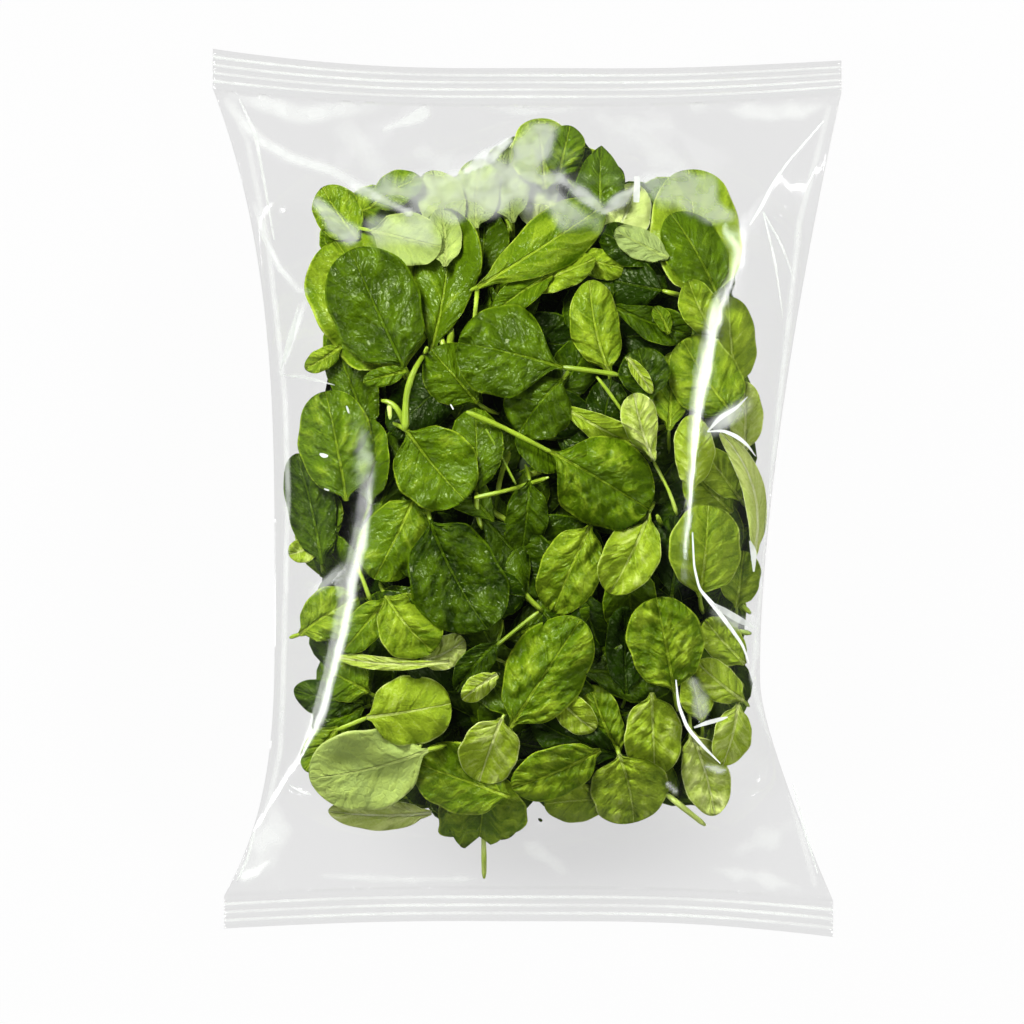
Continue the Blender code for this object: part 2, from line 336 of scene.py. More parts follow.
film = {
    "columns": 114,
    "rows": 150,
    # height and width of the ridge, its white of stress and painted highlight, width of that white line, and its path
    "folds": [
        (0.5, 5.0, 0.5, 1.8, [(-107, 140), (-102, 133), (-95, 126), (-85, 120), (-70, 115), (-60, 109), (-52, 105),
                              (-43, 100)]),
        (0.4, 3.0, 0.5, 1.0, [(-97, 103), (-94, 92), (-88, 80), (-81, 72), (-78, 71)]),
        (0.4, 3.0, 0.5, 1.0, [(-79, 67), (-84.5, 51), (-88, 43)]),
        (0.3, 2.5, 0.35, 1.6, [(-65, -26), (-70, -31), (-76, -35)]),
        (0.5, 1.6, 0.4, 1.0, [(-106, 138), (-100, 126), (-97, 112), (-92, 87), (-88, 52), (-86, 33), (-85, 0),
                              (-86, -38), (-87, -74), (-88, -92), (-92, -110), (-100, -132)]),
        (0.5, 1.6, 0.4, 1.0, [(108, 138), (104, 122), (97, 97), (94, 69), (91, 43), (88, 15), (85, -20), (82, -49),
                              (80, -65), (82, -74), (86, -85), (91, -95), (96, -115), (103, -140)]),
        (0.6, 5.0, 0.35, 3.0, [(-104, 143), (-81, 135), (-56, 139)]),
        (0.3, 5.0, 0.2, 4.0, [(-67, 133), (-58, 122), (-51, 113)]),
        (0.0, 3.0, 0.5, 2.8, [(64, 22), (70, 26), (77, 31)]),
        (0.0, 3.0, 0.35, 2.2, [(67, -42), (74, -46), (82, -48)]),
    ],
    # crisp white creases, painted glints and pieces of painted highlight streaks: how white, and a path of x, y and
    # half width
    "creasesAndGlints": [
        (0.9, [(-73.4, 13.8, 0.3), (-72, 12.8, 1.3), (-70.4, 13, 0.3)]),
        (0.9, [(-71.8, 1.4, 0.2), (-71, 1, 0.8), (-70, 0.8, 0.2)]),
        (0.8, [(-63.8, 30.6, 0.2), (-63.2, 29.4, 0.7), (-62.9, 28, 0.2)]),
        (0.8, [(-27, 31, 0.2), (-26.4, 30.2, 0.7), (-26, 29.2, 0.2)]),
        (0.75, [(38.9, 112.5, 0.9), (39.1, 110, 1.1), (38.7, 105, 1.2), (38.7, 103, 1.0)]),
        (0.95, [(58.2, -14, 0.2), (58.8, -26, 0.35), (60.7, -34, 0.45), (66, -40, 0.85), (71, -46.5, 0.7),
                (76.5, -54, 0.5), (79, -61, 0.15)]),
        (0.5, [(65.5, -39, 0.3), (70, -42, 1.2), (76, -45.5, 1.2), (81, -48, 0.3)]),
        (0.95, [(52.4, -66, 0.2), (53.4, -75, 0.5), (56.5, -83, 0.65), (62, -89.5, 0.6), (68.5, -96, 0.15)]),
        (0.65, [(59, -83, 0.3), (63, -81.5, 0.8), (69, -80, 0.7), (71, -79.5, 0.2)]),
        (0.9, [(106, 133, 0.2), (99.5, 125.5, 0.4), (93, 118, 0.35), (87.5, 110, 0.5), (83.5, 102, 0.6),
               (79, 95, 0.2)]),
        (0.6, [(83.8, 100, 0.2), (88, 82, 0.45), (91, 62, 0.1)]),
        (0.5, [(83.8, 100, 0.2), (90.5, 88, 0.4), (95, 76, 0.1)]),
        (0.75, [(63.5, 21.5, 0.2), (68, 26.5, 0.9), (74, 30, 0.6), (78, 34, 0.1)]),
        (0.8, [(63.5, 21.5, 0.2), (69, 22, 0.5), (74, 20, 0.8), (78, 17, 0.5), (81, 13, 0.1)]),
        (0.4, [(-88, 42, 0.1), (-79, 41, 0.8), (-68, 38, 0.1)]),
        (0.7, [(-84.5, -104, 0.1), (-81, -106, 0.5), (-77, -107.5, 0.1)]),
        (0.4, [(-81, 67, 0.1), (-84, 55, 1.2), (-88, 43, 0.1)]),
        (0.6, [(79, -17, 0.3), (80.5, -21, 1.3), (80.5, -28, 0.3)]),
        (0.5, [(-103, 141, 0.2), (-97, 128, 0.6), (-94, 112, 0.5), (-90, 90, 0.2)]),
        (0.4, [(-97, -119, 0.2), (-100, -131, 0.5), (-104, -139, 0.2)]),
        (0.4, [(95, -104, 0.2), (99, -120, 0.5), (104, -136, 0.2)]),
    ],
    # painted reflections and highlights: soft white patches where light shows in the film: how dense, how soft its
    # edge is, and a path of x, y and half width
    "paintedReflections": [
        (0.4, 6.0, [(-54, 107, 3), (-40, 106, 6), (-25, 107, 8), (-8, 109, 9), (9, 106, 6)]),
        (0.44, 3.0, [(-5, 110, 5), (1, 119, 6), (4, 127, 6)]),
        (0.75, 1.4, [(-21.5, 114.5, 1.2), (-14, 119.5, 3), (-7, 125.5, 1)]),
        (0.62, 2.0, [(-62, 109.5, 1.4), (-52, 104.5, 2.2), (-42, 99.5, 1.4)]),
        (0.42, 2.4, [(-74.5, 103, 1.2), (-69, 96, 3.2), (-62, 90.5, 3)]),
        (0.5, 2.4, [(12, 111, 2), (20, 104.5, 2), (27, 99, 0.8)]),
        (0.5, 2.0, [(27, 99, 0.8), (33, 103.5, 2), (38.5, 108.5, 1.5)]),
        (0.3, 3.5, [(43, 110, 3), (52, 108, 7), (62, 105, 7), (70, 99, 3)]),
        (0.25, 5.0, [(-52, 93, 3), (-38, 94, 5)]),
        (0.3, 5.0, [(12, 100, 4), (24, 96, 3)]),
        (0.5, 2.0, [(-51, 130, 1), (-44, 133, 2.5), (-37, 136, 1.5)]),
        (0.25, 2.5, [(58.5, -67, 1.5), (60.5, -73, 2.6), (62, -77, 2)]),
        (0.4, 1.0, [(63.5, -96.8, 0.6), (68, -98.5, 1), (70, -98.5, 0.4)]),
        (0.5, 0.9, [(49.8, -103.2, 0.5), (52.6, -106, 0.7)]),
        (0.3, 2.0, [(80, -44, 1), (82, -53, 1.8), (84, -62, 1)]),
        # painted reflections on the slack film towards the seals
        (0.24, 5.0, [(-36, 121, 1.5), (-30, 118, 3.5)]),
        (0.2, 8.0, [(25, 135, 1), (38, 127, 3.5), (53, 116, 2)]),
        (0.18, 5.0, [(34, 134, 1), (51, 131, 2)]),
        (0.24, 4.0, [(60, 139, 0.5), (80, 136, 2), (98, 136.5, 2), (107, 139, 0.5)]),
        (0.3, 1.5, [(-16, 138, 0.3), (2, 136, 1), (20, 138, 0.3)]),
        (0.75, 2.0, [(-101, -137, 0.6), (-97, -135.5, 2), (-93, -132, 0.6)]),
        (0.28, 8.0, [(-90, -111, 1), (-93, -123, 4), (-96, -133, 4)]),
        (0.22, 6.0, [(75, -128.5, 0.8), (86, -124, 2.6), (92, -120, 0.8)]),
        (0.2, 4.0, [(65, -135, 0.4), (80, -137, 1.8), (97, -141, 0.6)]),
        (0.22, 3.0, [(-2, -124, 0.6), (8, -131, 1.6), (16, -138, 0.6)]),
        (0.3, 1.5, [(-73, -137, 0.3), (-45, -138.5, 1.2), (-18, -138, 0.3)]),
    ],
    "reflectionRaggedness": 0.9,
    "wrinkleHeight": 0.3,
    "facetHeight": 1.1,
    "facetArea": (60, 100, 37, 62),  # facets come in between the first two as y and fade between the others as x
    "gatherHeight": 0.7,
    "creaseLift": 0.2,
    "creaseStep": 0.8,
    "ripplesPerMetre": 90.0,
    "rippleHeight": 0.12,
    "stressPatchesPerMetre": 160.0,
}


def alongPath(x, y, path):
    # distance of each place from the path, and how far along the path it lies, from 0 to 1
    nearest = np.full_like(x, 1e9)
    share = np.zeros_like(x)
    lengths = np.hypot(*np.diff(path[:, :2], axis=0).T)
    done = 0.0
    for start, end, length in zip(path[:-1], path[1:], lengths):
        run, rise = end[0] - start[0], end[1] - start[1]
        along = np.clip(((x - start[0]) * run + (y - start[1]) * rise) / length ** 2, 0, 1)
        away = np.hypot(x - mix(start[0], end[0], along), y - mix(start[1], end[1], along))
        closer = away < nearest
        nearest = np.where(closer, away, nearest)
        share = np.where(closer, (done + along * length) / lengths.sum(), share)
        done += length
    return nearest, share


def filmFolds(x, y):
    # heights of the ridges, and the white of stress and painted highlights along them and of painted reflections
    total = np.zeros_like(x)
    stressAndHighlight = np.zeros_like(x)
    for height, width, white, whiteWidth, points in film["folds"]:
        nearest, share = alongPath(x, y, np.array(points, float))
        taper = np.sin(math.pi * mix(0.04, 0.96, share)) ** 0.6
        total += height * taper * np.exp(-nearest / width)
        stressAndHighlight = np.maximum(stressAndHighlight, white * taper * np.exp(-(nearest / whiteWidth) ** 4))
    ragged = film["reflectionRaggedness"] * noiseAt(x * 0.12, y * 0.12, 6.0)
    for dense, soft, points in film["paintedReflections"]:
        path = np.array(points, float)
        nearest, share = alongPath(x, y, path)
        reachAt = reachAlong(path)
        half = np.interp(share, reachAt / reachAt[-1], path[:, 2])
        stressAndHighlight = np.maximum(stressAndHighlight, dense * smooth((half - nearest) / soft + ragged + 0.5))
    return total, stressAndHighlight


def filmRelief(x, y, across, along):
    # folds, wide soft wrinkles all over, flat facets near the head and narrow gathers that run in from both seals
    wrinkles = noiseAt(x * 0.05, y * 0.03, 4.0)
    gathers = noiseAt(x * 0.13, y * 0.025, 9.0) * np.exp(-np.minimum(along, 1 - along) * 7.0)
    facets = np.abs(noiseAt(x * 0.035 + y * 0.02, y * 0.045 - x * 0.02, 2.0))
    footEnd, headEnd, middle, sides = film["facetArea"]
    facets *= smooth((y - footEnd) / (headEnd - footEnd)) * smooth((sides - np.abs(x)) / (sides - middle))
    ridges, stressAndHighlight = filmFolds(x, y)
    relief = ridges + film["wrinkleHeight"] * wrinkles + film["gatherHeight"] * gathers + film["facetHeight"] * facets
    rimFade = smooth(14 * (1 - np.abs(across))) * smooth(25 * np.minimum(along, 1 - along))
    return relief * rimFade, stressAndHighlight


def makeFilm(material):
    columns, rows = film["columns"], film["rows"]
    bm = bmesh.new()
    acrossLayer, alongLayer, frontLayer = addLayers(bm, "across", "along", "front")
    bmesh.ops.create_grid(bm, x_segments=columns, y_segments=rows, size=1.0)
    for vert in bm.verts:
        evenly = vert.co.x
        vert[acrossLayer] = mix(evenly, math.sin(0.5 * math.pi * evenly), 0.5)
        vert[alongLayer] = 0.5 + 0.5 * vert.co.y
        vert[frontLayer] = 1.0
    frontFaces = list(bm.faces)
    copied = bmesh.ops.duplicate(bm, geom=list(bm.verts) + list(bm.edges) + frontFaces)["geom"]
    backFaces = [g for g in copied if isinstance(g, bmesh.types.BMFace)]
    for vert in copied:
        if isinstance(vert, bmesh.types.BMVert):
            vert[frontLayer] = 0.0
    bmesh.ops.reverse_faces(bm, faces=backFaces)
    rim = [v for v in bm.verts if v.is_boundary]
    bmesh.ops.remove_doubles(bm, verts=rim, dist=1e-5)
    frontEdges = {e for f in frontFaces for e in f.edges}
    bmesh.ops.subdivide_edges(bm, edges=list(frontEdges), cuts=1, use_grid_fill=True)

    across, along = readLayer(bm, acrossLayer), readLayer(bm, alongLayer)
    front = readLayer(bm, frontLayer) > 0.5
    x, y = bagPlace(across, along)
    backZ, frontZ = pillowHeights(across, along)
    relief, stressAndHighlight = filmRelief(x, y, across, along)
    z = np.where(front, frontZ + relief, backZ)
    stressAndHighlightLayer, = addLayers(bm, "stressAndPaintedHighlight")
    for vert, px, py, pz, white in zip(bm.verts, x, y, z, stressAndHighlight * front):
        vert.co = (px, py, pz)
        vert[stressAndHighlightLayer] = white
    finishPiece(bm, "clearFilm", material, "film", replaced="spinach_bag")


def makeCreasesAndGlints(material):
    # narrow white ribbons on the front film, pointed at both ends: stress-white creases and painted highlights
    bm = bmesh.new()
    stressAndHighlightLayer, = addLayers(bm, "stressAndPaintedHighlight")
    for white, points in film["creasesAndGlints"]:
        path = np.array(points, float)
        reachAt = reachAlong(path)
        at = np.linspace(0, reachAt[-1], int(reachAt[-1] / film["creaseStep"]) + 2)
        x, y, half = (ease(np.interp(at, reachAt, path[:, k]), 6) for k in range(3))
        ahead = np.stack((np.gradient(x), np.gradient(y)))
        ahead /= np.hypot(*ahead)
        ribbon = bmesh.ops.create_grid(bm, x_segments=2, y_segments=len(at) - 1, size=1.0)["verts"]
        step = np.array([round((v.co.y + 1) / 2 * (len(at) - 1)) for v in ribbon])
        turn = np.array([v.co.x for v in ribbon])
        px = x[step] + turn * half[step] * ahead[1][step]
        py = y[step] - turn * half[step] * ahead[0][step]
        across, along = acrossAlong(px, py)
        pz = pillowHeights(across, along)[1] + filmRelief(px, py, across, along)[0] + film["creaseLift"]
        for vert, *place in zip(ribbon, px, py, pz):
            vert.co = place
            vert[stressAndHighlightLayer] = white
    bmesh.ops.reverse_faces(bm, faces=[f for f in bm.faces if f.normal.z < 0])
    # the underside of each ribbon
    under = bmesh.ops.duplicate(bm, geom=list(bm.verts) + list(bm.edges) + list(bm.faces))["geom"]
    bmesh.ops.translate(bm, verts=[g for g in under if isinstance(g, bmesh.types.BMVert)], vec=(0, 0, -0.1))
    bmesh.ops.reverse_faces(bm, faces=[g for g in under if isinstance(g, bmesh.types.BMFace)])
    finishPiece(bm, "whiteCreasesAndPaintedGlints", material, "film")


crimp = {
    "columns": 160,
    "rowsPerRidge": 8,
    "depth": 0.32,
    "halfThickness": 0.15,
    "sag": 0.5,
    "white": 0.32,  # how white each groove between two ridges is: stress-whitening and a painted highlight
}


def makeSeal(seal, name, material):
    # two films welded flat and pressed into ridges that run across the bag
    bm = bmesh.new()
    acrossLayer, ridgeLayer, stressAndHighlightLayer = addLayers(bm, "across", "ridge", "stressAndPaintedHighlight")
    bmesh.ops.create_grid(bm, x_segments=crimp["columns"], y_segments=seal["ridges"] * crimp["rowsPerRidge"], size=1.0)
    for vert in bm.verts:
        vert[acrossLayer] = vert.co.x
        vert[ridgeLayer] = (0.5 + 0.5 * vert.co.y) * seal["ridges"]
    raised = bmesh.ops.extrude_face_region(bm, geom=list(bm.faces), use_keep_orig=True)["geom"]
    topVerts = {v for v in raised if isinstance(v, bmesh.types.BMVert)}
    across, ridge = readLayer(bm, acrossLayer), readLayer(bm, ridgeLayer)
    share = ridge / seal["ridges"]
    innerY, outerY = sealLine(seal, "inner", across), sealLine(seal, "outer", across)
    innerX = across * halfWidthAt(across, innerY)
    x = mix(innerX, across * bySide(across, seal["halfWidth"]), smooth(share * 3))
    y = mix(innerY, outerY, share)
    ridges = crimp["depth"] * np.cos(2 * math.pi * (ridge - 0.5)) * smooth(share * 12) * smooth((1 - share) * 12)
    z = sealHeight(seal, across) + ridges + crimp["sag"] * np.sin(across * 9.0 + 1.0) * share
    # painted highlight on stress-whitened film, white along the grooves between the crimp ridges
    stressAndHighlight = crimp["white"] * smooth(2.2 * np.cos(2 * math.pi * ridge) - 0.8) * (share > 0.05) * (share < 0.95)
    stressAndHighlight *= 0.75 + 0.25 * np.sin(across * 6.0 + 1.7 * np.rint(ridge))
    for vert, px, py, pz, white in zip(bm.verts, x, y, z, stressAndHighlight):
        vert.co = (px, py, pz + (crimp["halfThickness"] if vert in topVerts else -crimp["halfThickness"]))
        vert[stressAndHighlightLayer] = white
    bmesh.ops.recalc_face_normals(bm, faces=bm.faces)
    finishPiece(bm, name, material, "film")


def filmMaterial(name, tint):
    # cast polypropylene film, clear and calendered smooth: it shows what is behind it, with crisp reflections,
    # and turns white where it is creased or crimped; the same white also paints highlights and reflections of the
    # lights
    material = newMaterial(name)
    coords = addNode(material, "TexCoord")
    ripples = addNode(material, "TexNoise",
                      links={"Vector": (coords, "Object"), "Scale": film["ripplesPerMetre"], "Detail": 1.0})
    slack = addNode(material, "Bump",
                    links={"Strength": 1.0, "Distance": film["rippleHeight"] * mm, "Height": ripples})
    fresnel = addNode(material, "Fresnel", links={"IOR": 1.5})
    twoFaces = addNode(material, "Math", {"operation": "MULTIPLY", "use_clamp": True}, {0: fresnel, 1: 1.35})
    capped = addNode(material, "Math", {"operation": "MINIMUM"}, {0: twoFaces, 1: 0.08})
    clear = addNode(material, "BsdfTransparent", links={"Color": hexColor(tint)})
    gloss = addNode(material, "BsdfGlossy", links={"Color": hexColor("#FFFFFF"), "Roughness": 0.1, "Normal": slack})
    shine = addNode(material, "MixShader", links={0: capped, 1: clear, 2: gloss})
    stressAndPaintedHighlight = addNode(material, "Attribute", {"attribute_name": "stressAndPaintedHighlight"})
    broken = addNode(material, "TexNoise",
                     links={"Vector": (coords, "Object"), "Scale": film["stressPatchesPerMetre"], "Detail": 1.0})
    patchy = addNode(material, "MapRange", links={0: broken, 1: 0.35, 2: 0.55, 3: 0.7, 4: 1.0})
    whitened = addNode(material, "Math", {"operation": "MULTIPLY"}, {0: (stressAndPaintedHighlight, 2), 1: patchy})
    stressWhiteAndHighlight = addNode(material, "BsdfDiffuse", links={"Color": hexColor("#F3F7F2")})
    surface = addNode(material, "MixShader", links={0: whitened, 1: shine, 2: stressWhiteAndHighlight})
    addNode(material, "OutputMaterial", links={"Surface": surface})
    return material


# the heap of loose leaves, in millimetres
heap = {
    "seed": 11,
    "filmGap": 1.4,  # clear height kept under the film
    "layerDepth": {1: 4.5, 2: 7.5, 3: 11.0, 4: 14.5, 5: 18.0, 6: 22.0},  # how deep under the film each layer lies
    "leafGap": 0.5,
    "cell": 1.5,  # of the height maps that keep the leaves apart
    "bottomGap": 1.5,
    "reach": (85, 125),  # half its width and half its length
    "sideEnds": (-86, 86),  # deep leaves are tried between these x
    "longEnds": (-128, 136),  # and these y
    "outline": [
        (-6, 134), (12, 135), (22, 127), (28, 124), (40, 112), (62, 115), (75, 98), (76, 70), (83, 58), (83, 40),
        (85, 12), (85, -10), (82, -24), (80, -38), (82, -50), (77, -67), (81, -79), (77, -90), (69, -106), (65, -117),
        (50, -110), (36, -117), (15, -118), (1, -110), (-2, -124), (-29, -125), (-35, -113), (-57, -116), (-70, -110),
        (-77, -95), (-79, -80), (-78, -66), (-80, -52), (-77, -38), (-74, -27), (-84, -20), (-84, 19), (-80, 33),
        (-66, 36), (-70, 48), (-75, 56), (-77, 80), (-73, 90), (-75, 107), (-63, 110), (-45, 112), (-31, 115),
        (-15, 117), (-8, 126),
    ],
}
blade = {
    "columns": 20,
    "rows": 34,
    "thickness": 0.35,
    # side veins: how many, how far they run on towards the rim, right ones against left ones, and unevenness
    "sideVeins": 5.2,
    "veinSlant": -1.4,
    "veinOffset": 0.45,
    "veinWobble": 0.5,
    # how the outline swells from the base and closes at the tip
    "kinds": {"round": (0.55, 0.46), "oval": (0.66, 0.55), "spoon": (1.05, 0.55), "spade": (0.45, 0.85),
              "torn": (0.45, 0.12)},
    # relief of a blade of the full width
    "fullWidth": 26.0,
    "ribDepth": 0.55,
    "ribWidth": 1.1,
    "cushionHeight": 1.4,
    "blisterHeight": 0.7,
    "warpHeight": 1.3,
    "steepest": 0.55,  # slope of the film that a leaf still follows
    "freeShare": 55,  # percent of a leaf that is free once it has sunk as a whole; the rest is bent down
    "bendRounds": 8,  # the more, the softer that bend
}

# base x and y, tip x and y, width, tone from dark 0 to light 1 (for some leaves set to paint in the light and shade
# they show), layer from 1 at the film, and what differs from the settings in leafSettings
shownLeaves = [
    # front layer
    (12.5, 44, -24.5, 53, 33, 0.28, 1,
     {"kind": "round", "stem": [(22, 43), (32, 41.5)], "puff": 1.7, "roll": -0.1, "neck": 2.4}),
    (8, 14.5, 43, -6, 32, 0.43, 1, {"kind": "round", "stem": [(-9.6, 23.5), (-21.5, 28.5)], "puff": 2.0, "neck": 1.8}),
    (-34.5, -9.5, -14, -48, 33, 0.15, 1, {"kind": "round", "puff": 1.8}),
    (-42.5, 22, -22, -2.5, 29, 0.40, 1, {"kind": "round"}),
    (-64, -3, -71.5, 36, 27, 0.42, 1, {"kind": "round", "stem": None, "puff": 1.6}),
    (-39.5, -1.5, -54, -30.5, 24, 0.45, 1, {"stem": [(-37.5, 3)]}),
    (43, -7, 29, -35.5, 20, 0.70, 1, {"puff": 1.5}),
    (29, 42, 22, 75, 18, 0.58, 1),
    (44.5, 11, 37.5, 35, 13, 0.90, 1, {"kind": "spoon", "stem": [(50.3, 0.4), (53, -8)]}),
    (-6, -83, 19, -44.5, 28, 0.50, 1, {"puff": 2.2}),
    (52, -70.5, 45.5, -37, 27, 0.54, 1, {"kind": "round", "puff": 2.2}),
    (-50, -36, -33, -56, 22, 0.58, 1, {"fold": 0.2}),
    (-49.5, -37.5, -65, -56, 13, 0.50, 1),
    (-27.5, -59.5, -67, -58, 5, 0.88, 1, {"kind": "spoon"}),
    (-57, -79.5, -27, -74.5, 25, 0.70, 1, {"kind": "round", "stem": [(-67.5, -84)], "puff": 0.5}),
    (-35, -91, -77.5, -101.5, 30, 0.66, 1, {"under": True, "puff": 0.5}),
    (-9, -79.5, -17, -102.5, 21, 0.82, 1, {"kind": "round", "puff": 0.8}),
    (26, -91, -5.5, -104.5, 18.5, 0.54, 1, {"fold": 0.3, "ripple": 2.2, "puff": 1.5}),
    (32.5, -92.5, 38, -117.5, 28, 0.72, 1, {"kind": "round", "puff": 2.0, "ripple": 2.4}),
    (44, -70.5, 45.5, -100.5, 21, 0.74, 1, {"fold": -0.35, "ripple": 2.2, "puff": 1.6}),
    (75, -75, 69.5, -97, 14, 0.84, 1),
    (77, -74, 60, -60, 13, 0.76, 1),
    (-10.5, -64, -23, -73, 8.5, 0.80, 1),
    (61, -37, 64, -4.5, 26, 0.60, 1, {"kind": "round", "puff": 0.8}),
    (80.2, -24, 68.4, 21.4, 8.5, 1.00, 1, {"bow": 0.14, "puff": 0.4, "stem": None}),
    (35, 48, 44, 35, 5, 0.80, 1),
    (-42.5, 43, -58, 39, 7, 0.38, 1),
    (-17.5, 72.5, 27, 102, 21, 0.52, 1, {"kind": "spoon", "puff": 0.8}),
    (50, 83, 31, 93, 11, 0.40, 1, {"stem": None, "under": True}),
    (58, 0.5, 58, 27.5, 14.5, 0.76, 1),
    (10, -71, 24, -84, 12, 0.76, 1, {"stem": None}),
    # second layer
    (-43.5, 44, -62.5, 86, 33, 0.22, 2, {"kind": "round", "puff": 1.3}),
    (12.5, 40, -3, 21, 25, 0.24, 2),
    (44, 33, 39, 51, 18, 0.11, 2),
    (10.5, 31.5, 40.5, 15.5, 10.5, 0.68, 2, {"kind": "spoon"}),
    (22.5, -11, 9, -42.5, 22, 0.57, 2, {"puff": 1.5}),
    (-10.5, -52.5, -25, -70.5, 11, 0.12, 2),
    (-56, -70.5, -70.5, -63, 16, 0.43, 2),
    (-67, -83, -79, -99, 12, 0.50, 2, {"stem": None}),
    (-34, -114, -71, -113.5, 11, 1.00, 2, {"stem": None}),
    (-6, -108, -40, -95.5, 25, 0.50, 2, {"stem": None}),
    (33, -93, 1, -79, 16, -0.05, 2, {"fold": 0.3}),
    (33, -93, 22.5, -68, 14, 0.53, 2, {"puff": 1.5}),
    (62, -81, 58, -64, 12, 0.70, 2),
    (58, -84.5, 67, -115, 17, 0.93, 2, {"puff": 1.4}),
    (73.5, 27, 55, 54, 25, 0.52, 2, {"kind": "round", "stem": None}),
    (74.5, -41, 77, -20.5, 15, 0.58, 2),
    (51, -36, 52, -8, 14.5, -0.05, 2),
    (77.5, -61, 63, -45, 14, 0.70, 2, {"stem": None}),
    (67, 54.5, 57, 75, 14, 0.60, 2),
    (50, 56, 45, 66, 6, 0.45, 2, {"stem": None}),
    (9, 77, -12, 63, 11, 0.37, 2, {"fold": 0.4}),
    (-55.5, 93, -30.5, 87, 19, 0.58, 2, {"kind": "round", "puff": 0.5, "under": True}),
    (11, 112, 15.4, 131.5, 14.5, 0.42, 2),
    (26, 99.5, 26.5, 124, 18, 0.27, 2, {"kind": "spade"}),
    (47.5, 82.5, 25.5, 93, 14.5, 0.06, 2, {"stem": None}),
    (67.5, 70, 51, 99, 22, 0.36, 2),
    (-81, -50.5, -60, -37, 18, 0.55, 2, {"stem": [(-84.5, -51.5)]}),
    (-4, 73, 24, 83, 12, 0.60, 2),
    # third layer
    (-29, 80, -31, 101, 12.5, 0.62, 3, {"under": True, "stem": None}),
    (-60, 90, -73, 109, 17, 0.53, 3),
    (63.5, 67, 57.5, 115.5, 32, 0.60, 3, {"kind": "round", "puff": 0.7}),
    (-17.5, 31.5, -34, 50.5, 21.5, 0.36, 3),
    (-73, -25.5, -82, 14, 18, 0.18, 3, {"puff": 1.4}),
    (-55.5, -4, -55.5, 26, 15.5, 0.34, 3),
    (-74, -18, -85, -22, 9, 0.80, 3, {"stem": None}),
    (-66, 52, -79, 44, 8, 0.57, 3, {"stem": None}),
    (35, -71.5, 34, -40, 14, -0.10, 3),
    (-58, -74, -83, -70, 13, 0.12, 3, {"stem": None}),
    (-58, -76, -76, -84, 15, 0.20, 3),
    (30.5, -109.5, 6, -111, 16, 0.66, 3, {"stem": None}),
    (-17, -98, -17, -127, 32, 0.50, 3, {"kind": "torn", "fold": 0.15, "stem": None}),
    (-22, -100, -27, -121, 15, 0.70, 3, {"stem": None}),
    (76, -2.5, 62.5, 15.5, 13, 0.62, 3),
    (74.5, 37, 71.5, 70, 19, 0.66, 3, {"stem": None}),
    (50, 22, 52, 50, 13, 0.50, 3),
    (15, 83, 36, 79, 11, 0.60, 3),
    (77, 14, 76.5, 40, 13, 0.90, 3, {"stem": None}),
    (30, 66, 58, 56, 13, 0.20, 3, {"kind": "spoon", "ripple": 2.0, "fold": 0.3}),
    (-8, -60, 12, -68, 13, 0.52, 3),
    (-38, -60, -22, -52, 12, 0.95, 3),
    # deeper layers
    (-56, 102, -38, 112.5, 13, 0.50, 4, {"stem": None}),
    (-34.5, 49, -28, 101, 24, 0.38, 4, {"kind": "spoon", "puff": 0.8, "fold": 0.3}),
    (6.5, 108, 4, 134, 22, 0.65, 4, {"kind": "round", "puff": 0.6}),
    (-43.5, 42, -68.5, 90, 43, 0.56, 4, {"kind": "round"}),
    (-73, -25.5, -74.5, -1, 15.5, 0.28, 4),
    (73, -7, 57, 9, 17, 0.58, 4, {"stem": None}),
    (1, 4.5, -2, -22.5, 15.5, 0.19, 4),
    (28, 55, 58, 54, 13, -0.10, 4, {"ripple": 2.0}),
    (-27, 90, -35, 115, 17, 0.60, 5, {"under": True}),
    (-18, 94, -17, 119.5, 17, 0.52, 5, {"under": True}),
    (-5, 96, -10, 124, 16, 0.50, 5, {"under": True}),
    (4, 92, -2, 128, 18, 0.95, 6, {"under": True}),
    (28, 86, 40, 110, 18, 1.02, 5, {"under": True}),
    (42, 84, 36, 108, 16, 0.40, 6),
    (14, 100, 34, 116, 16, 0.10, 6),
    (-56, 22, -69, 57, 14, 0.25, 5),
    (-17, 73, -15, 102, 18, 0.22, 6),
    (4, -116.5, 5.5, -117.5, 1.2, 0.05, 6, {"stem": None}),
]
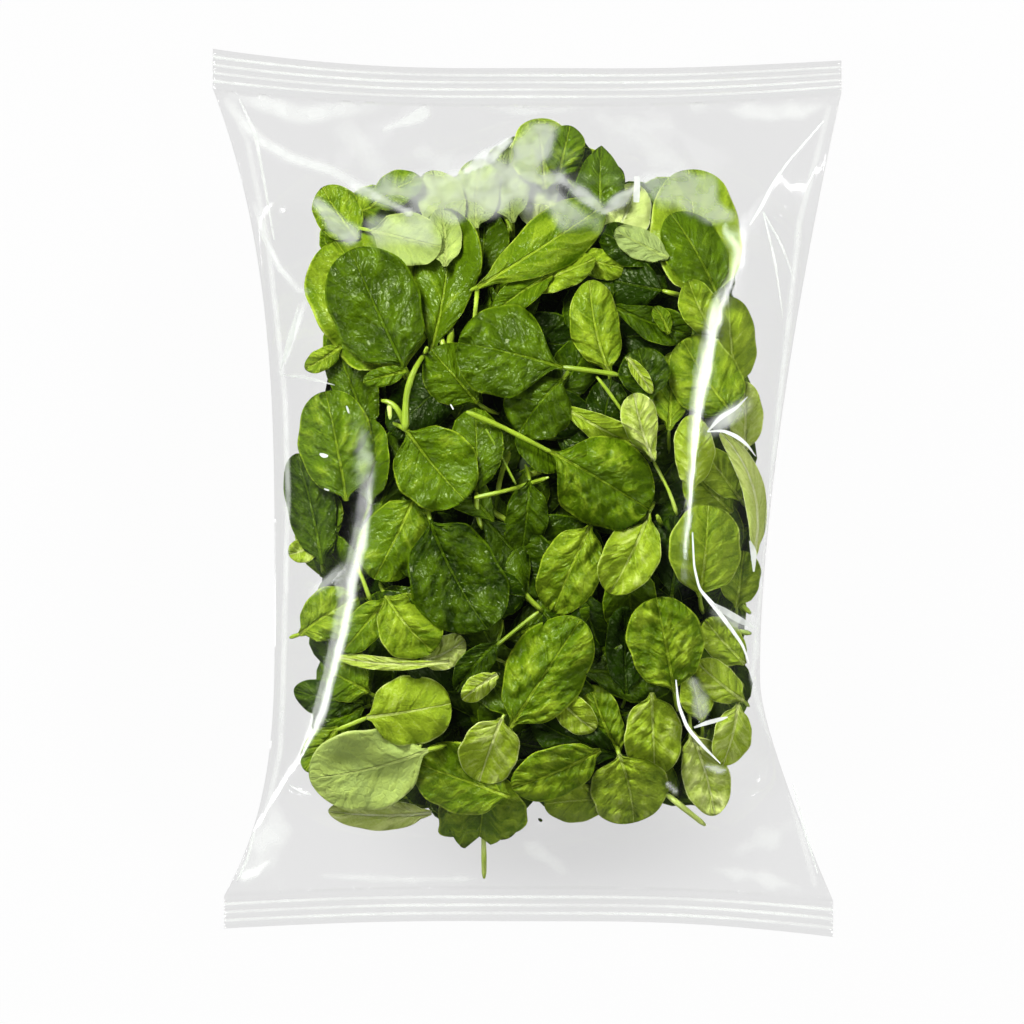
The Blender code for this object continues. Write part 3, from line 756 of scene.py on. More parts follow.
# loose stems and stubs: depth under the film, radius at each end, tone, and the path
shownStems = [
    (3.0, 0.9, 0.9, 0.6, [(-24.6, 103.5), (-21.8, 93), (-19, 82.5), (-17.5, 72.5), (-19, 58)]),
    (4.0, 0.8, 0.8, 0.6, [(-22, 103), (-9.6, 100.5), (-6.8, 97)]),
    (5.0, 0.8, 0.8, 0.5, [(-14, 107.5), (-8, 99), (-5.4, 93)]),
    (5.0, 0.8, 0.8, 0.6, [(-1.8, 106.5), (-6, 95.7), (-9, 84.6)]),
    (3.0, 1.1, 1.1, 0.9, [(-0.7, 117), (-1.8, 104.6), (-6.8, 94.6)]),
    (4.0, 0.9, 0.9, 0.5, [(45.7, 99), (48.2, 86.8), (52.8, 74.3), (61.8, 69)]),
    (2.5, 1.0, 1.6, 0.35, [(-35.3, 51), (-40.5, 42), (-42.8, 34), (-43, 22)]),
    (2.0, 1.0, 1.2, 0.4, [(-51.4, 32.5), (-47.5, 32.3), (-44.3, 27.5), (-43, 22.5)]),
    (1.8, 1.1, 0.9, 0.9, [(-48.6, 31.4), (-48.3, 25.8)]),
    (4.0, 1.2, 1.2, 0.6, [(-31.8, 59), (-29.3, 51)]),
    (4.0, 1.6, 1.6, 0.5, [(-26.8, 58.2), (-27.5, 51)]),
    (4.0, 0.9, 0.9, 0.45, [(-18.6, -1.8), (-6, 1), (7.5, 5.4)]),
    (8.0, 0.5, 0.6, 0.2, [(-14.6, 22.5), (-9.6, 13.6), (-4, 2.9)]),
    (4.0, 0.7, 0.7, 0.45, [(24.3, 41), (29, 35), (34, 27.8)]),
    (5.0, 0.8, 0.8, 0.3, [(-11.4, -54.3), (-2.5, -47), (4, -41.8)]),
    (3.0, 0.9, 0.9, 0.6, [(-60.7, -24), (-57.8, -31), (-55.3, -38.2)]),
    (2.0, 0.7, 0.7, 0.8, [(-37, -88.2), (-43.5, -99), (-47, -109)]),
    (3.0, 1.2, 1.2, 0.9, [(49.3, -107), (63.5, -118.5)]),
    (4.0, 1.0, 1.1, 0.8, [(-15.7, -118), (-15.4, -130), (-15.4, -138)]),
    (6.0, 0.9, 0.9, 0.5, [(-81, -9.6), (-73, -24.6)]),
    (3.0, 1.0, 1.0, 0.6, [(74.3, -38.2), (79.6, -43)]),
    (3.0, 1.1, 1.1, 0.6, [(74.3, -49), (79.6, -50)]),
    (4.0, 0.9, 0.9, 0.5, [(45.7, -8), (48.2, -13.2)]),
]

chance = np.random.default_rng(heap["seed"])

# the lowest free height over each cell of the bag: the film at first, then whatever already lies there
cell = heap["cell"]
cellX = np.arange(-halfWide, halfWide + cell, cell)
cellY = np.arange(-halfLong, halfLong + cell, cell)
gridX, gridY = np.meshgrid(cellX, cellY, indexing="ij")
floorMap, filmMap = pillowHeights(*acrossAlong(gridX, gridY))
ceilingMap = filmMap - heap["filmGap"]
floorMap = floorMap + heap["bottomGap"]


def cellOf(x, y):
    i = np.clip(np.rint((x + halfWide) / cell).astype(int), 0, len(cellX) - 1)
    j = np.clip(np.rint((y + halfLong) / cell).astype(int), 0, len(cellY) - 1)
    return i, j


def insideHeap(x, y, margin=0.0):
    # counts how often a line to the right crosses the heap's outline, which is drawn in by the margin
    corners = np.array(heap["outline"]) * (1 - margin / np.array(heap["reach"]))
    inside = False
    for (ax, ay), (bx, by) in zip(corners, np.roll(corners, -1, axis=0)):
        if (ay > y) != (by > y) and x < ax + (y - ay) * (bx - ax) / (by - ay):
            inside = not inside
    return inside


def soften(field):
    # spreads each value over its neighbours
    padded = np.pad(field, 1, mode="edge")
    return (padded[:-2, 1:-1] + padded[2:, 1:-1] + padded[1:-1, :-2] + padded[1:-1, 2:] + 2 * field) / 6


def makeBladeTemplate(columns, rows):
    # a flat leaf blade, closed at its base and tip, with an upper and a lower skin
    bm = bmesh.new()
    columnLayer, rowLayer, upperLayer, *_ = addLayers(
        bm, "column", "row", "upper", "across", "along", "tone", "dull", "puff", "paintedReliefShade")
    bm.loops.layers.uv.new("blade")
    bmesh.ops.create_grid(bm, x_segments=columns, y_segments=rows, size=1.0)
    for vert in bm.verts:
        column, row = (vert.co.x + 1) / 2 * columns, (vert.co.y + 1) / 2 * rows
        vert[columnLayer], vert[rowLayer] = column, row
        vert.co = (vert.co.x * math.sqrt(max(0.0, 1 - vert.co.y ** 2)), vert.co.y, 0)
    bmesh.ops.remove_doubles(bm, verts=bm.verts, dist=1e-5)
    lifted = bmesh.ops.extrude_face_region(bm, geom=list(bm.faces), use_keep_orig=True)["geom"]
    upper = [g for g in lifted if isinstance(g, bmesh.types.BMVert)]
    bmesh.ops.translate(bm, verts=upper, vec=(0, 0, 0.02))
    for vert in upper:
        vert[upperLayer] = 1.0
    bmesh.ops.recalc_face_normals(bm, faces=bm.faces)
    mesh = bpy.data.meshes.new("bladeTemplate")
    bm.to_mesh(mesh)
    bm.free()
    mesh.shade_smooth()
    count = len(mesh.vertices)
    layers = {}
    for name in ("column", "row", "upper"):
        values = np.zeros(count)
        mesh.attributes[name].data.foreach_get("value", values)
        layers[name] = np.rint(values).astype(int)
    corners = np.zeros(len(mesh.loops), dtype=np.int32)
    mesh.loops.foreach_get("vertex_index", corners)
    return {"mesh": mesh, "columns": columns, "rows": rows, "corners": corners, **layers}


def layBlade(template, leaf, bm):
    # shapes one leaf, slides it under whatever already lies above it, adds it to the bmesh and gives its heights back
    columns, rows = template["columns"], template["rows"]
    across = np.linspace(-1, 1, columns + 1)[:, None] * np.ones(rows + 1)
    along = (0.5 - 0.5 * np.cos(math.pi * np.linspace(0, 1, rows + 1)))[None, :] * np.ones((columns + 1, 1))
    base, tip = np.array(leaf["base"], float), np.array(leaf["tip"], float)
    length = np.hypot(*(tip - base))
    forward = (tip - base) / length
    sideways = np.array((forward[1], -forward[0]))
    swell, close = blade["kinds"][leaf["kind"]]
    widest = swell / (swell + close)
    outline = (along / widest) ** swell * ((1 - along) / (1 - widest)) ** close
    # at the neck the blade runs out into its stem
    neck = np.minimum((1.6 + 26 * along / leaf["neck"]) / leaf["width"], 0.35) * (along > 0) * (along < 0.3)
    outline = np.maximum(outline * smooth(0.12 + 5 * along / leaf["neck"]), neck)
    # uneven rims, different on both sides
    phase = leaf["phase"]
    side = np.sign(across)
    outline *= 1 + 0.035 * np.sin(9 * along + phase[0] + side) + 0.02 * np.sin(21 * along + phase[1] + 2 * side)
    localX = across * outline * leaf["width"] / 2
    localY = along * length
    if leaf["kind"] == "torn":  # ragged end
        localY = localY * (0.84 + 0.13 * np.exp(-((np.abs(across) - 0.5) / 0.15) ** 2) + 0.04 * np.sin(14 * across)
                           + 0.035 * np.sin(31 * across))
    bend = leaf["bow"] * length * 4 * along * (1 - along)
    x = base[0] + forward[0] * localY + sideways[0] * (localX + bend)
    y = base[1] + forward[1] * localY + sideways[1] * (localX + bend)

    # relief of the blade: groove at the midrib, cushions between the side veins, waves at the rim
    uneven = 0.9 * np.sin(localX * 0.35 + phase[0]) * np.sin(localY * 0.3 + phase[1])
    slant, offset, wobble = blade["veinSlant"], blade["veinOffset"], blade["veinWobble"]
    vein = (blade["sideVeins"] * along + slant * np.abs(across) ** 0.75 + offset * (side > 0) + wobble * uneven
            + phase[3])
    strength = 0.55 + 0.45 * np.sin(localX * 0.31 + phase[2]) * np.sin(localY * 0.23 + phase[3])
    flanks = np.sin(math.pi * np.clip(np.abs(across), 0, 1)) ** 0.6
    cushions = strength * np.abs(np.sin(math.pi * vein)) ** 0.8 * flanks
    blisters = np.sin(localX * 0.9 + localY * 0.3 + phase[1]) * np.sin(localY * 0.7 - localX * 0.25 + phase[2])
    waves = np.sin(leaf["waves"] * 2 * math.pi * along + phase[0] + 1.3 * side)
    scale = leaf["width"] / blade["fullWidth"]
    ends = smooth(3 * outline)
    relief = -blade["ribDepth"] * np.exp(-(localX / blade["ribWidth"]) ** 2) * (1 - 0.6 * along)
    relief = relief + leaf["puff"] * blade["cushionHeight"] * scale * cushions * ends
    relief += leaf["puff"] * blade["blisterHeight"] * blisters * (1 - across ** 4) * ends
    relief += leaf["cup"] * leaf["width"] * (across * outline) ** 2 + leaf["fold"] * np.abs(localX)
    relief += leaf["curl"] * length * (along - 0.45) ** 2
    relief += leaf["ripple"] * scale * across ** 4 * ends * waves
    relief += blade["warpHeight"] * scale * np.sin(localX * 0.22 + phase[2]) * np.sin(localY * 0.19 + phase[3])
    for turn, offset, bend in leaf["dents"]:  # loose folds across the blade
        away = localX * math.cos(turn) + (localY - length / 2) * math.sin(turn) - offset * leaf["width"]
        relief += bend * np.hypot(away, 1.6)
    # painted light and shade: lighter on the tops of the cushions, darker in their hollows
    paintedReliefShade = np.clip((cushions - 0.35) * leaf["puff"], -1, 1) * ends
    if leaf["under"]:
        relief = -relief

    # the leaf follows the slope of the film over its middle
    centre = (base + tip) / 2
    ci, cj = cellOf(centre[0], centre[1])
    reach = 6
    slopeX = (filmMap[min(ci + reach, len(cellX) - 1), cj] - filmMap[max(ci - reach, 0), cj]) / (2 * reach * cell)
    slopeY = (filmMap[ci, min(cj + reach, len(cellY) - 1)] - filmMap[ci, max(cj - reach, 0)]) / (2 * reach * cell)
    slopeX, slopeY = np.clip((slopeX, slopeY), -blade["steepest"], blade["steepest"])
    z = filmMap[ci, cj] - leaf["depth"] + slopeX * (x - centre[0]) + slopeY * (y - centre[1])
    z = z + leaf["pitch"] * (localY - length / 2) + leaf["roll"] * localX + relief

    i, j = cellOf(x, y)
    push = np.maximum(0, z + heap["leafGap"] - ceilingMap[i, j])
    z = z - np.percentile(push, blade["freeShare"])
    push = np.maximum(0, z + heap["leafGap"] - ceilingMap[i, j])
    softened = push
    for _ in range(blade["bendRounds"]):
        softened = soften(np.maximum(softened, push))
    z = z - np.maximum(softened, push * 0.9)
    z = np.maximum(z, floorMap[i, j])

    # what comes next stays under this leaf, also halfway between its points
    low = z - blade["thickness"]
    for px, py, pz in (
            (x, y, low), ((x[1:] + x[:-1]) / 2, (y[1:] + y[:-1]) / 2, (low[1:] + low[:-1]) / 2),
            ((x[:, 1:] + x[:, :-1]) / 2, (y[:, 1:] + y[:, :-1]) / 2, (low[:, 1:] + low[:, :-1]) / 2)):
        np.minimum.at(ceilingMap, cellOf(px, py), pz)

    column, row, upper = template["column"], template["row"], template["upper"]
    mesh = template["mesh"]
    places = np.stack((x[column, row], y[column, row], z[column, row] + blade["thickness"] * (upper - 0.5)), axis=1)
    mesh.vertices.foreach_set("co", places.ravel())
    count = len(column)
    dull = upper if leaf["under"] else 1 - upper
    for name, values in (("across", across[column, row]), ("along", along[column, row]), ("dull", dull),
                         ("tone", np.full(count, leaf["tone"])), ("puff", np.full(count, leaf["puff"])),
                         ("paintedReliefShade", paintedReliefShade[column, row])):
        mesh.attributes[name].data.foreach_set("value", values.astype(np.float32))
    flat = np.stack((0.5 + localX[column, row] / 100, localY[column, row] / 100 + phase[0]), axis=1)
    mesh.uv_layers["blade"].data.foreach_set("uv", flat[template["corners"]].astype(np.float32).ravel())
    bm.from_mesh(mesh)
    return z


stalk = {
    "sides": 8,
    "step": 2.0,
    "flatness": 0.85,
    "leastRadius": 0.4,
    "radiusPerWidth": 0.012,  # what each millimetre of the blade's width adds
    "leastBladeWidth": 9.5,  # narrower blades have no stem of their own
    "reach": (4, 8),
    "droop": (6, 12),
    "looseSize": 0.85,
    "looseTone": 0.75,
}


def layStem(path, startRadius, endRadius, tone, bm, depth=None, heights=None):
    # a round stem along a softened path; it keeps under the film and whatever already lies above it
    points = np.array(path, float)
    reachAt = reachAlong(points)
    steps = max(4, int(reachAt[-1] / stalk["step"]))
    at = np.linspace(0, reachAt[-1], steps + 1)
    x, y = (ease(np.interp(at, reachAt, points[:, k]), 3) for k in range(2))
    share = at / reachAt[-1]
    radius = mix(startRadius, endRadius, share) * (1 + 0.08 * np.sin(0.4 * at + points[0, 0]))
    radius[0] *= 0.7
    radius[-1] *= 0.5
    i, j = cellOf(x, y)
    z = filmMap[i, j] - depth if heights is None else np.interp(share, (0, 1), heights)
    z = np.minimum(z, ceilingMap[i, j] - radius)
    for _ in range(4):
        z = np.minimum(ease(z, 1), ceilingMap[i, j] - radius)
    z = np.maximum(z, floorMap[i, j] + radius)
    if depth is not None:
        np.minimum.at(ceilingMap, (i, j), z - radius)

    tube = bmesh.new()
    toneLayer, aroundLayer = addLayers(tube, "tone", "around")
    bmesh.ops.create_grid(tube, x_segments=stalk["sides"], y_segments=steps, size=1.0)
    for vert in tube.verts:
        step = int(round((vert.co.y + 1) / 2 * steps))
        turn = math.pi * vert.co.x
        before, after = max(step - 1, 0), min(step + 1, steps)
        ahead = Vector((x[after] - x[before], y[after] - y[before], z[after] - z[before])).normalized()
        flat = Vector((ahead.y, -ahead.x, 0)).normalized()
        up = flat.cross(ahead)
        vert[toneLayer] = tone
        vert[aroundLayer] = abs(vert.co.x)
        ring = math.cos(turn) * flat + stalk["flatness"] * math.sin(turn) * up
        vert.co = Vector((x[step], y[step], z[step])) + float(radius[step]) * ring
    bmesh.ops.remove_doubles(tube, verts=tube.verts, dist=1e-3)
    bmesh.ops.holes_fill(tube, edges=[e for e in tube.edges if e.is_boundary], sides=stalk["sides"])
    bmesh.ops.recalc_face_normals(tube, faces=tube.faces)
    mesh = bpy.data.meshes.new("stem")
    tube.to_mesh(mesh)
    tube.free()
    bm.from_mesh(mesh)
    bpy.data.meshes.remove(mesh)


def leafSettings(base, tip, width, tone, depth, extras=None):
    # each leaf draws from its own numbers, so that moving one leaf leaves the others as they are
    own = np.random.default_rng((heap["seed"], *(int(10 * (v + 300)) for v in (*base, *tip))))
    spread = own.uniform(-1, 1, 8)
    leaf = {
        "base": base, "tip": tip, "width": width, "tone": tone, "depth": depth,
        "kind": "oval",
        "stem": [],  # where it runs on from the base; empty for a short one that bends down, None for none
        "under": False,  # shows its underside
        "neck": 1.0,
        "puff": 1.0,
        "phase": own.uniform(0, 6.3, 4), "own": own,
        "cup": -0.05 + 0.2 * spread[0],
        "fold": 0.14 * spread[1],
        "curl": -0.25 + 0.4 * spread[2],
        "pitch": 0.2 * spread[3],
        "roll": 0.25 * spread[4],
        "bow": 0.05 * spread[5],
        "ripple": 1.4 + 0.7 * spread[6],
        "waves": 2.5 + spread[7],
        "dents": [(own.uniform(0, math.pi), own.uniform(-0.3, 0.3), own.uniform(-0.22, 0.22)) for _ in range(2)],
    }
    leaf.update(extras or {})
    return leaf


# leaves that only show in gaps, on the flanks of the heap and from below
deepBlade = {
    "columns": 4,
    "rows": 8,
    "flankCount": 130,
    "innerCount": 330,
    "bottomCount": 170,
    "margin": 4,  # kept to the heap's outline
    "leastRoom": 16,  # between the film and the back, for a leaf that stands on a flank
    "flankInset": (9, 14),
    "flankLength": (20, 30),
    "flankWidth": (12, 18),
    "flankSteepness": (0.9, 1.6),
    "flankTone": (0.1, 0.55),
    "length": (22, 38),
    "widthShare": (0.5, 0.75),
    "innerDepth": (8, 38),  # of the first and of the last leaf
    # inner leaves take darker tones, as painted shade deep in the heap
    "innerPaintedShadeTone": (-0.05, 0.35),
    "bottomTone": (0.1, 0.6),
}


def makeShownLeaves(pieces, stems):
    template = makeBladeTemplate(blade["columns"], blade["rows"])
    for bx, by, tx, ty, width, tone, layer, *extras in sorted(shownLeaves, key=lambda entry: entry[6]):
        leaf = leafSettings((bx, by), (tx, ty), width, tone, heap["layerDepth"][layer], *extras)
        name = {1: "frontLeaves", 2: "middleLeaves"}.get(layer, "lowerLeaves")
        baseZ = layBlade(template, leaf, pieces[name])[0, 0]
        path = leaf["stem"]
        if path is None or (not path and width < stalk["leastBladeWidth"]):
            continue
        if path:
            heights = (baseZ, baseZ + 0.5)
        else:
            back = np.array((bx - tx, by - ty), float)
            back /= np.hypot(*back)
            turn = leaf["own"].uniform(-0.5, 0.5)
            reach = leaf["own"].uniform(*stalk["reach"])
            if not insideHeap(bx + back[0] * reach, by + back[1] * reach, 8):
                reach = 3.0
            side = np.array((back[1], -back[0]))
            path = [np.array((bx, by)) + reach * k * (back + side * turn * k) for k in (0.5, 1.0)]
            heights = (baseZ, baseZ - leaf["own"].uniform(*stalk["droop"]))
        inset = np.array((bx, by)) + 0.03 * np.array((tx - bx, ty - by))
        radius = stalk["leastRadius"] + stalk["radiusPerWidth"] * width
        layStem([inset, *path], radius, radius * 1.25, tone * 0.5 + 0.1, stems, heights=heights)
    for depth, startRadius, endRadius, tone, path in shownStems:
        layStem(path, stalk["looseSize"] * startRadius, stalk["looseSize"] * endRadius, stalk["looseTone"] * tone,
                stems, depth=depth)
    print("shown leaves", len(shownLeaves))


def makeFlankLeaves(template, bm):
    # leaves that stand around the heap's flanks
    margin = deepBlade["margin"]
    corners = heap["outline"]
    for _ in range(deepBlade["flankCount"]):
        start = chance.integers(len(corners))
        begin, end = np.array(corners[start], float), np.array(corners[(start + 1) % len(corners)], float)
        place = mix(begin, end, chance.uniform(0, 1))
        place *= 1 - chance.uniform(*deepBlade["flankInset"]) / np.array(heap["reach"])
        turn = math.atan2(*(end - begin)[::-1]) + chance.uniform(-0.4, 0.4)
        forward = np.array((math.cos(turn), math.sin(turn)))
        reach = 0.5 * chance.uniform(*deepBlade["flankLength"]) * forward
        i, j = cellOf(*place)
        room = filmMap[i, j] - floorMap[i, j]
        steep = chance.uniform(*deepBlade["flankSteepness"])
        outward = place @ (forward[1], -forward[0]) > 0
        free = insideHeap(*(place + reach), margin) and insideHeap(*(place - reach), margin)
        if free and room >= deepBlade["leastRoom"]:
            leaf = leafSettings(tuple(place - reach), tuple(place + reach), chance.uniform(*deepBlade["flankWidth"]),
                                chance.uniform(*deepBlade["flankTone"]), chance.uniform(10, room - 4),
                                {"roll": -steep if outward else steep})
            layBlade(template, leaf, bm)


def makeDeepLeaves(template, pieces, stems):
    # leaves in the middle of the heap and, once the dark core is in place, those that lie on the back of the bag
    made = 0
    while made < deepBlade["innerCount"] + deepBlade["bottomCount"]:
        x, y = chance.uniform(*heap["sideEnds"]), chance.uniform(*heap["longEnds"])
        if not insideHeap(x, y, 7):
            continue
        inner = made < deepBlade["innerCount"]
        turn = chance.uniform(0, 2 * math.pi)
        length = chance.uniform(*deepBlade["length"])
        width = length * chance.uniform(*deepBlade["widthShare"])
        reach = 0.5 * length * np.array((math.cos(turn), math.sin(turn)))
        sideReach = 0.5 * width * np.array((-math.sin(turn), math.cos(turn)))
        ends = (reach, -reach, sideReach, -sideReach)
        if not all(insideHeap(x + way[0], y + way[1], deepBlade["margin"]) for way in ends):
            continue
        i, j = cellOf(np.array(x), np.array(y))
        depth = mix(*deepBlade["innerDepth"], made / deepBlade["innerCount"]) + chance.uniform(-3, 3)
        if not inner:
            depth = filmMap[i, j] - floorMap[i, j] - chance.uniform(0, 9)
        tone = chance.uniform(*deepBlade["innerPaintedShadeTone" if inner else "bottomTone"])
        leaf = leafSettings((x - reach[0], y - reach[1]), (x + reach[0], y + reach[1]), width, tone, depth,
                            {"kind": ("oval", "round", "spoon")[made % 3]})
        if inner:
            leaf["pitch"] *= 3
            leaf["roll"] *= 3
        baseZ = layBlade(template, leaf, pieces["innerLeaves" if inner else "bottomLeaves"])[0, 0]
        back = -reach / np.hypot(*reach)
        start = np.array((x, y)) - reach
        if made % 3 == 0 and insideHeap(*(start + 16 * back), 6):
            layStem([start, start + 8 * back, start + 14 * back + (2, 1)], 0.9, 1.0, 0.4, stems,
                    heights=(baseZ, baseZ - 3))
        made += 1
        if made == deepBlade["innerCount"]:
            makeCore(coreMaterial())
    print("hidden leaves", made + deepBlade["flankCount"])


def makeLeaves(material, stemMaterial):
    names = ("frontLeaves", "middleLeaves", "lowerLeaves", "flankLeaves", "innerLeaves", "bottomLeaves")
    pieces = {name: bmesh.new() for name in names}
    stems = bmesh.new()
    makeShownLeaves(pieces, stems)
    deepTemplate = makeBladeTemplate(deepBlade["columns"], deepBlade["rows"])
    makeFlankLeaves(deepTemplate, pieces["flankLeaves"])
    makeDeepLeaves(deepTemplate, pieces, stems)
    for name, bm in pieces.items():
        finishPiece(bm, name, material, "leaf")
    finishPiece(stems, "leafStems", stemMaterial, "stem")


core = {"halfWidth": 69, "halfLength": 101, "centreY": -4, "height": 24, "halfHeight": 16}


def makeCore(material):
    # a dark body inside the heap, so that no daylight shows between the leaves; its near-black colour is painted shade
    bm = bmesh.new()
    bmesh.ops.create_icosphere(bm, subdivisions=5, radius=1.0)
    for vert in bm.verts:
        place = vert.co.copy()
        lump = (1 + 0.08 * noise.noise(place * 4.0)) * (1 + 0.36 * abs(place.x * place.y))
        x, y = place.x * core["halfWidth"] * lump, place.y * core["halfLength"] * lump + core["centreY"]
        i, j = cellOf(np.array(x), np.array(y))
        low, high = float(floorMap[i, j]), float(ceilingMap[i, j]) - 1.0
        middle = core["height"] + 3 * noise.noise(place * 5.0 + Vector((3, 1, 2)))
        z = middle + place.z * core["halfHeight"]
        vert.co = (x, y, min(max(z, low), max(high, low + 0.5)))
    finishPiece(bm, "heapCore", material, "leaf")


def leafMaterial():
    # fresh baby spinach: waxy upper skin that shines softly, pale matt underside, paler veins, and light glows through
    # the thin blades; painted rim light along the edges, and painted light and shade on the quilting
    material = newMaterial("freshSpinachLeaf")
    layer = {name: addNode(material, "Attribute", {"attribute_name": name})
             for name in ("across", "along", "tone", "dull", "puff", "paintedReliefShade")}
    uv = addNode(material, "UVMap", {"uv_map": "blade"})  # one unit is 100 mm of leaf
    split = addNode(material, "SeparateXYZ", links={0: uv})
    centred = addNode(material, "Math", {"operation": "SUBTRACT"}, {0: split, 1: 0.5})
    offCentre = addNode(material, "Math", {"operation": "ABSOLUTE"}, {0: centred})
    acrossSize = addNode(material, "Math", {"operation": "ABSOLUTE"}, {0: (layer["across"], 2)})

    # midrib: 1.5 mm wide at the base, 0.5 mm at the tip
    ribEdge = addNode(material, "MapRange", links={0: (layer["along"], 2), 3: 0.0075, 4: 0.0025})
    ribShare = addNode(material, "Math", {"operation": "DIVIDE"}, {0: offCentre, 1: ribEdge})
    # side veins, about 5 mm apart
    wobble = addNode(material, "TexNoise", links={"Vector": uv, "Scale": 16.0, "Detail": 1.0})
    slant = addNode(material, "Math", {"operation": "POWER"}, {0: acrossSize, 1: 0.75})
    veinPlace = addNode(material, "Math", {"operation": "MULTIPLY"},
                        {0: (layer["along"], 2), 1: blade["sideVeins"]})
    rightSide = addNode(material, "Math", {"operation": "GREATER_THAN"}, {0: (layer["across"], 2), 1: 0.0})
    for source, share in (
            (slant, blade["veinSlant"]), (rightSide, blade["veinOffset"]), (wobble, blade["veinWobble"])):
        veinPlace = addNode(material, "Math", {"operation": "MULTIPLY_ADD"}, {0: source, 1: share, 2: veinPlace})
    toVein = addNode(material, "Math", {"operation": "PINGPONG"}, {0: veinPlace, 1: 0.5})
    # net of fine veins, about 2.2 mm between them
    net = addNode(material, "TexVoronoi", {"feature": "DISTANCE_TO_EDGE", "voronoi_dimensions": "2D"},
                  {"Vector": uv, "Scale": 100 / 2.2})
    # where each kind of vein starts to fade and where it ends
    midrib, veinLine, veinGroove, veinFade, netVein = (
        addNode(material, "MapRange", {"interpolation_type": "SMOOTHSTEP"},
                {0: source, 1: fading, 2: ended, 3: 1.0, 4: 0.0})
        for source, fading, ended in ((ribShare, 0.55, 1.1), (toVein, 0.03, 0.1), (toVein, 0.0, 0.2),
                                      (acrossSize, 0.55, 0.98), (net, 0.0, 0.14)))
    sideVein = addNode(material, "Math", {"operation": "MULTIPLY"}, {0: veinLine, 1: veinFade})
    # painted rim light: a light line along the edge of each blade
    rim = addNode(material, "MapRange", {"interpolation_type": "SMOOTHSTEP"}, {0: acrossSize, 1: 0.93, 2: 0.985})
    # quilted skin: cushions drawn out between the side veins, blisters about 4 mm across, and a grain under 1 mm
    drawnOut = addNode(material, "Math", {"operation": "MULTIPLY"}, {0: offCentre, 1: 12.0})
    between = addNode(material, "CombineXYZ", links={0: veinPlace, 1: drawnOut, 2: (split, 1)})
    cushions = addNode(material, "TexNoise",
                       links={"Vector": between, "Scale": 1.6, "Detail": 2.0, "Roughness": 0.5})
    # painted sheen: lighter where the cushions stand highest
    raised = addNode(material, "MapRange", {"interpolation_type": "SMOOTHSTEP"}, {0: cushions, 1: 0.47, 2: 0.62})
    blisters = addNode(material, "TexNoise",
                       links={"Vector": uv, "Scale": 15.0, "Detail": 1.5, "Roughness": 0.45, "Distortion": 0.8})
    grain = addNode(material, "TexNoise", links={"Vector": uv, "Scale": 110.0, "Detail": 1.0})
    patches = addNode(material, "TexNoise", links={"Vector": uv, "Scale": 9.0, "Detail": 3.0})

    # leaf colour: own tones, veins, mottling and grain, with painted light and shade: crests and cushions lighter,
    # hollows and vein grooves darker, a painted sheen and a painted rim light
    shade = addNode(material, "Math", {"operation": "MULTIPLY_ADD"}, {0: (layer["tone"], 2), 1: 0.74, 2: -0.26})
    for source, share in (
            ((layer["paintedReliefShade"], 2), 0.14), (midrib, 0.18), (sideVein, 0.06), (netVein, 0.02), (rim, 0.22),
            (patches, 0.2), (cushions, 0.12), (raised, 0.06), (veinGroove, -0.02), (grain, 0.12)):
        shade = addNode(material, "Math", {"operation": "MULTIPLY_ADD"}, {0: source, 1: share, 2: shade})
    greens = addNode(material, "ValToRGB", links={0: shade})
    stops = greens.color_ramp.elements
    stops[0].position, stops[0].color = 0.0, hexColor("#1B2F00")
    stops[1].position, stops[1].color = 1.0, hexColor("#E6EDC4")
    for position, code in ((0.3, "#506C06"), (0.55, "#91A926"), (0.8, "#C6D27C")):
        stop = stops.new(position)
        stop.color = hexColor(code)
    underShare = addNode(material, "Math", {"operation": "MULTIPLY"}, {0: (layer["dull"], 2), 1: 0.4})
    skinColor = addNode(material, "Mix", {"data_type": "RGBA"}, {0: underShare, 6: greens, 7: hexColor("#BCCC84")})
    roughness = addNode(material, "MapRange", links={0: (layer["dull"], 2), 3: 0.25, 4: 0.5})

    quilt = addNode(material, "Math", {"operation": "MULTIPLY_ADD"}, {0: cushions, 1: 1.6, 2: blisters})
    fullness = addNode(material, "Math", {"operation": "ADD"}, {0: (layer["puff"], 2), 1: 0.3})
    height = addNode(material, "Math", {"operation": "MULTIPLY"}, {0: quilt, 1: fullness})
    for source, share in ((midrib, -0.7), (veinGroove, -0.2), (netVein, -0.1), (grain, 0.25)):
        height = addNode(material, "Math", {"operation": "MULTIPLY_ADD"}, {0: source, 1: share, 2: height})
    bump = addNode(material, "Bump", links={"Strength": 1.0, "Distance": 0.8 * mm, "Height": height})
    skin = addNode(material, "BsdfPrincipled",
                   links={"Base Color": (skinColor, 2), "Roughness": roughness, "Normal": bump,
                          "Specular IOR Level": 0.2, "Specular Tint": hexColor("#E2F0BC")})
    glow = addNode(material, "BsdfTranslucent", links={"Color": (skinColor, 2)})
    surface = addNode(material, "MixShader", links={0: 0.12, 1: skin, 2: glow})
    addNode(material, "OutputMaterial", links={"Surface": surface})
    return material


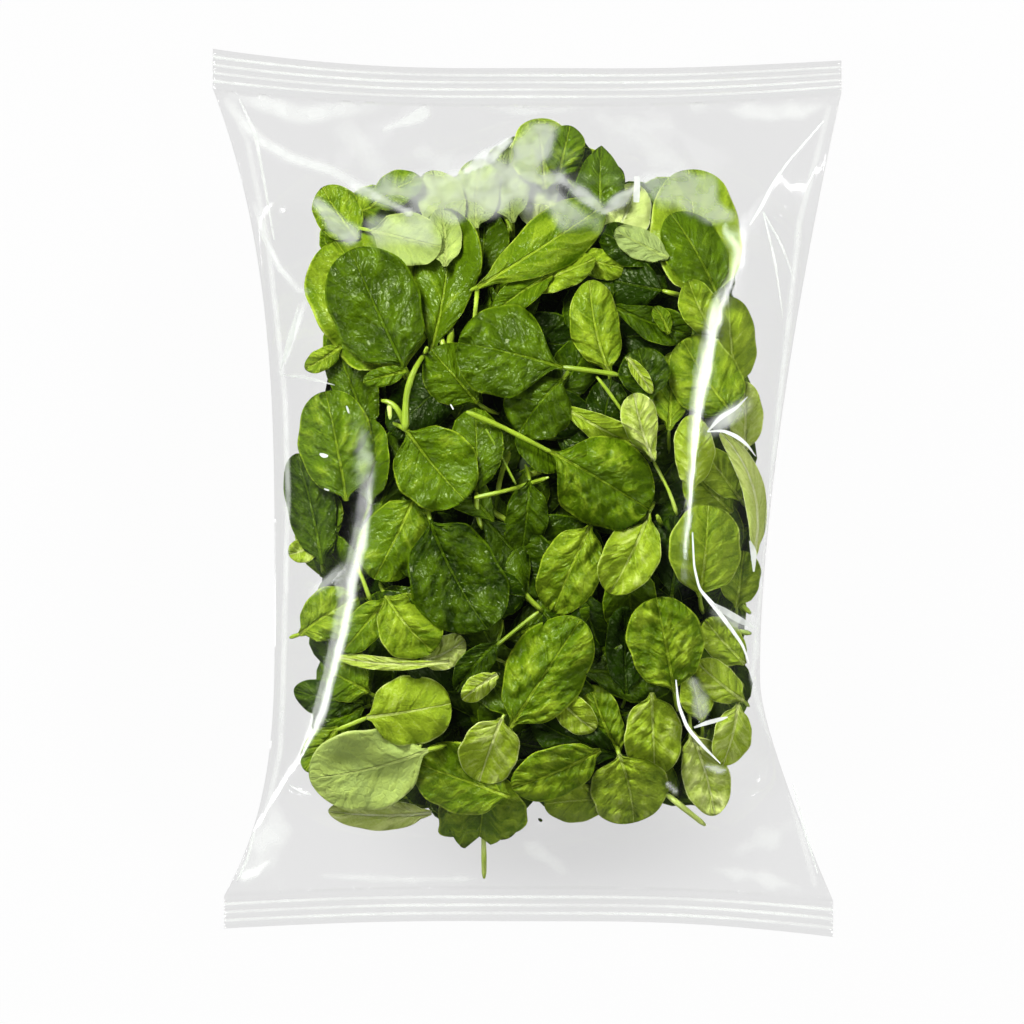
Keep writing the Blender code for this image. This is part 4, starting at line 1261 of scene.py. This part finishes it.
def stemMaterial():
    # juicy leaf stalk: smooth wet-looking skin with faint lengthwise ribs, yellow-green with darker stretches
    material = newMaterial("juicySpinachStem")
    coords = addNode(material, "TexCoord")
    tone = addNode(material, "Attribute", {"attribute_name": "tone"})
    around = addNode(material, "Attribute", {"attribute_name": "around"})
    stretches = addNode(material, "TexNoise", links={"Vector": (coords, "Object"), "Scale": 180.0, "Detail": 2.0})
    ribs = addNode(material, "TexNoise", {"noise_dimensions": "1D"},
                   {"W": (around, 2), "Scale": 4.0, "Detail": 1.0})
    shade = addNode(material, "Math", {"operation": "ADD"}, {0: (tone, 2), 1: -0.35})
    for source, share in ((stretches, 0.4), (ribs, 0.3)):
        shade = addNode(material, "Math", {"operation": "MULTIPLY_ADD"}, {0: source, 1: share, 2: shade})
    greens = addNode(material, "ValToRGB", links={0: shade})
    stops = greens.color_ramp.elements
    stops[0].position, stops[0].color = 0.0, hexColor("#5E7A0C")
    stops[1].position, stops[1].color = 1.0, hexColor("#D2DE8C")
    middle = stops.new(0.5)
    middle.color = hexColor("#98B22E")
    ribbed = addNode(material, "Bump", links={"Strength": 1.0, "Distance": 0.3 * mm, "Height": ribs})
    skin = addNode(material, "BsdfPrincipled",
                   links={"Base Color": greens, "Roughness": 0.35, "Specular IOR Level": 0.4,
                          "Normal": ribbed})
    addNode(material, "OutputMaterial", links={"Surface": skin})
    return material


def coreMaterial():
    # painted shade: leaves deep in the heap, coloured near-black green as if almost without light
    material = newMaterial("deepShadedLeaves")
    coords = addNode(material, "TexCoord")
    blots = addNode(material, "TexNoise", links={"Vector": (coords, "Object"), "Scale": 90.0, "Detail": 3.0})
    greens = addNode(material, "ValToRGB", links={0: blots})
    stops = greens.color_ramp.elements
    stops[0].position, stops[0].color = 0.35, hexColor("#141F04")
    stops[1].position, stops[1].color = 0.7, hexColor("#2F430C")
    skin = addNode(material, "BsdfPrincipled", links={"Base Color": greens, "Roughness": 0.7})
    addNode(material, "OutputMaterial", links={"Surface": skin})
    return material


lightGroups = makeStudio()
clearFilmSkin = filmMaterial("clearPolypropyleneFilm", "#F9F9F9")
crimpedFilmSkin = filmMaterial("crimpedPolypropyleneSeal", "#F8F8F8")
makeFilm(clearFilmSkin)
makeCreasesAndGlints(clearFilmSkin)
makeSeal(headSeal, "headSealStrip", crimpedFilmSkin)
makeSeal(footSeal, "footSealStrip", crimpedFilmSkin)

makeLeaves(leafMaterial(), stemMaterial())
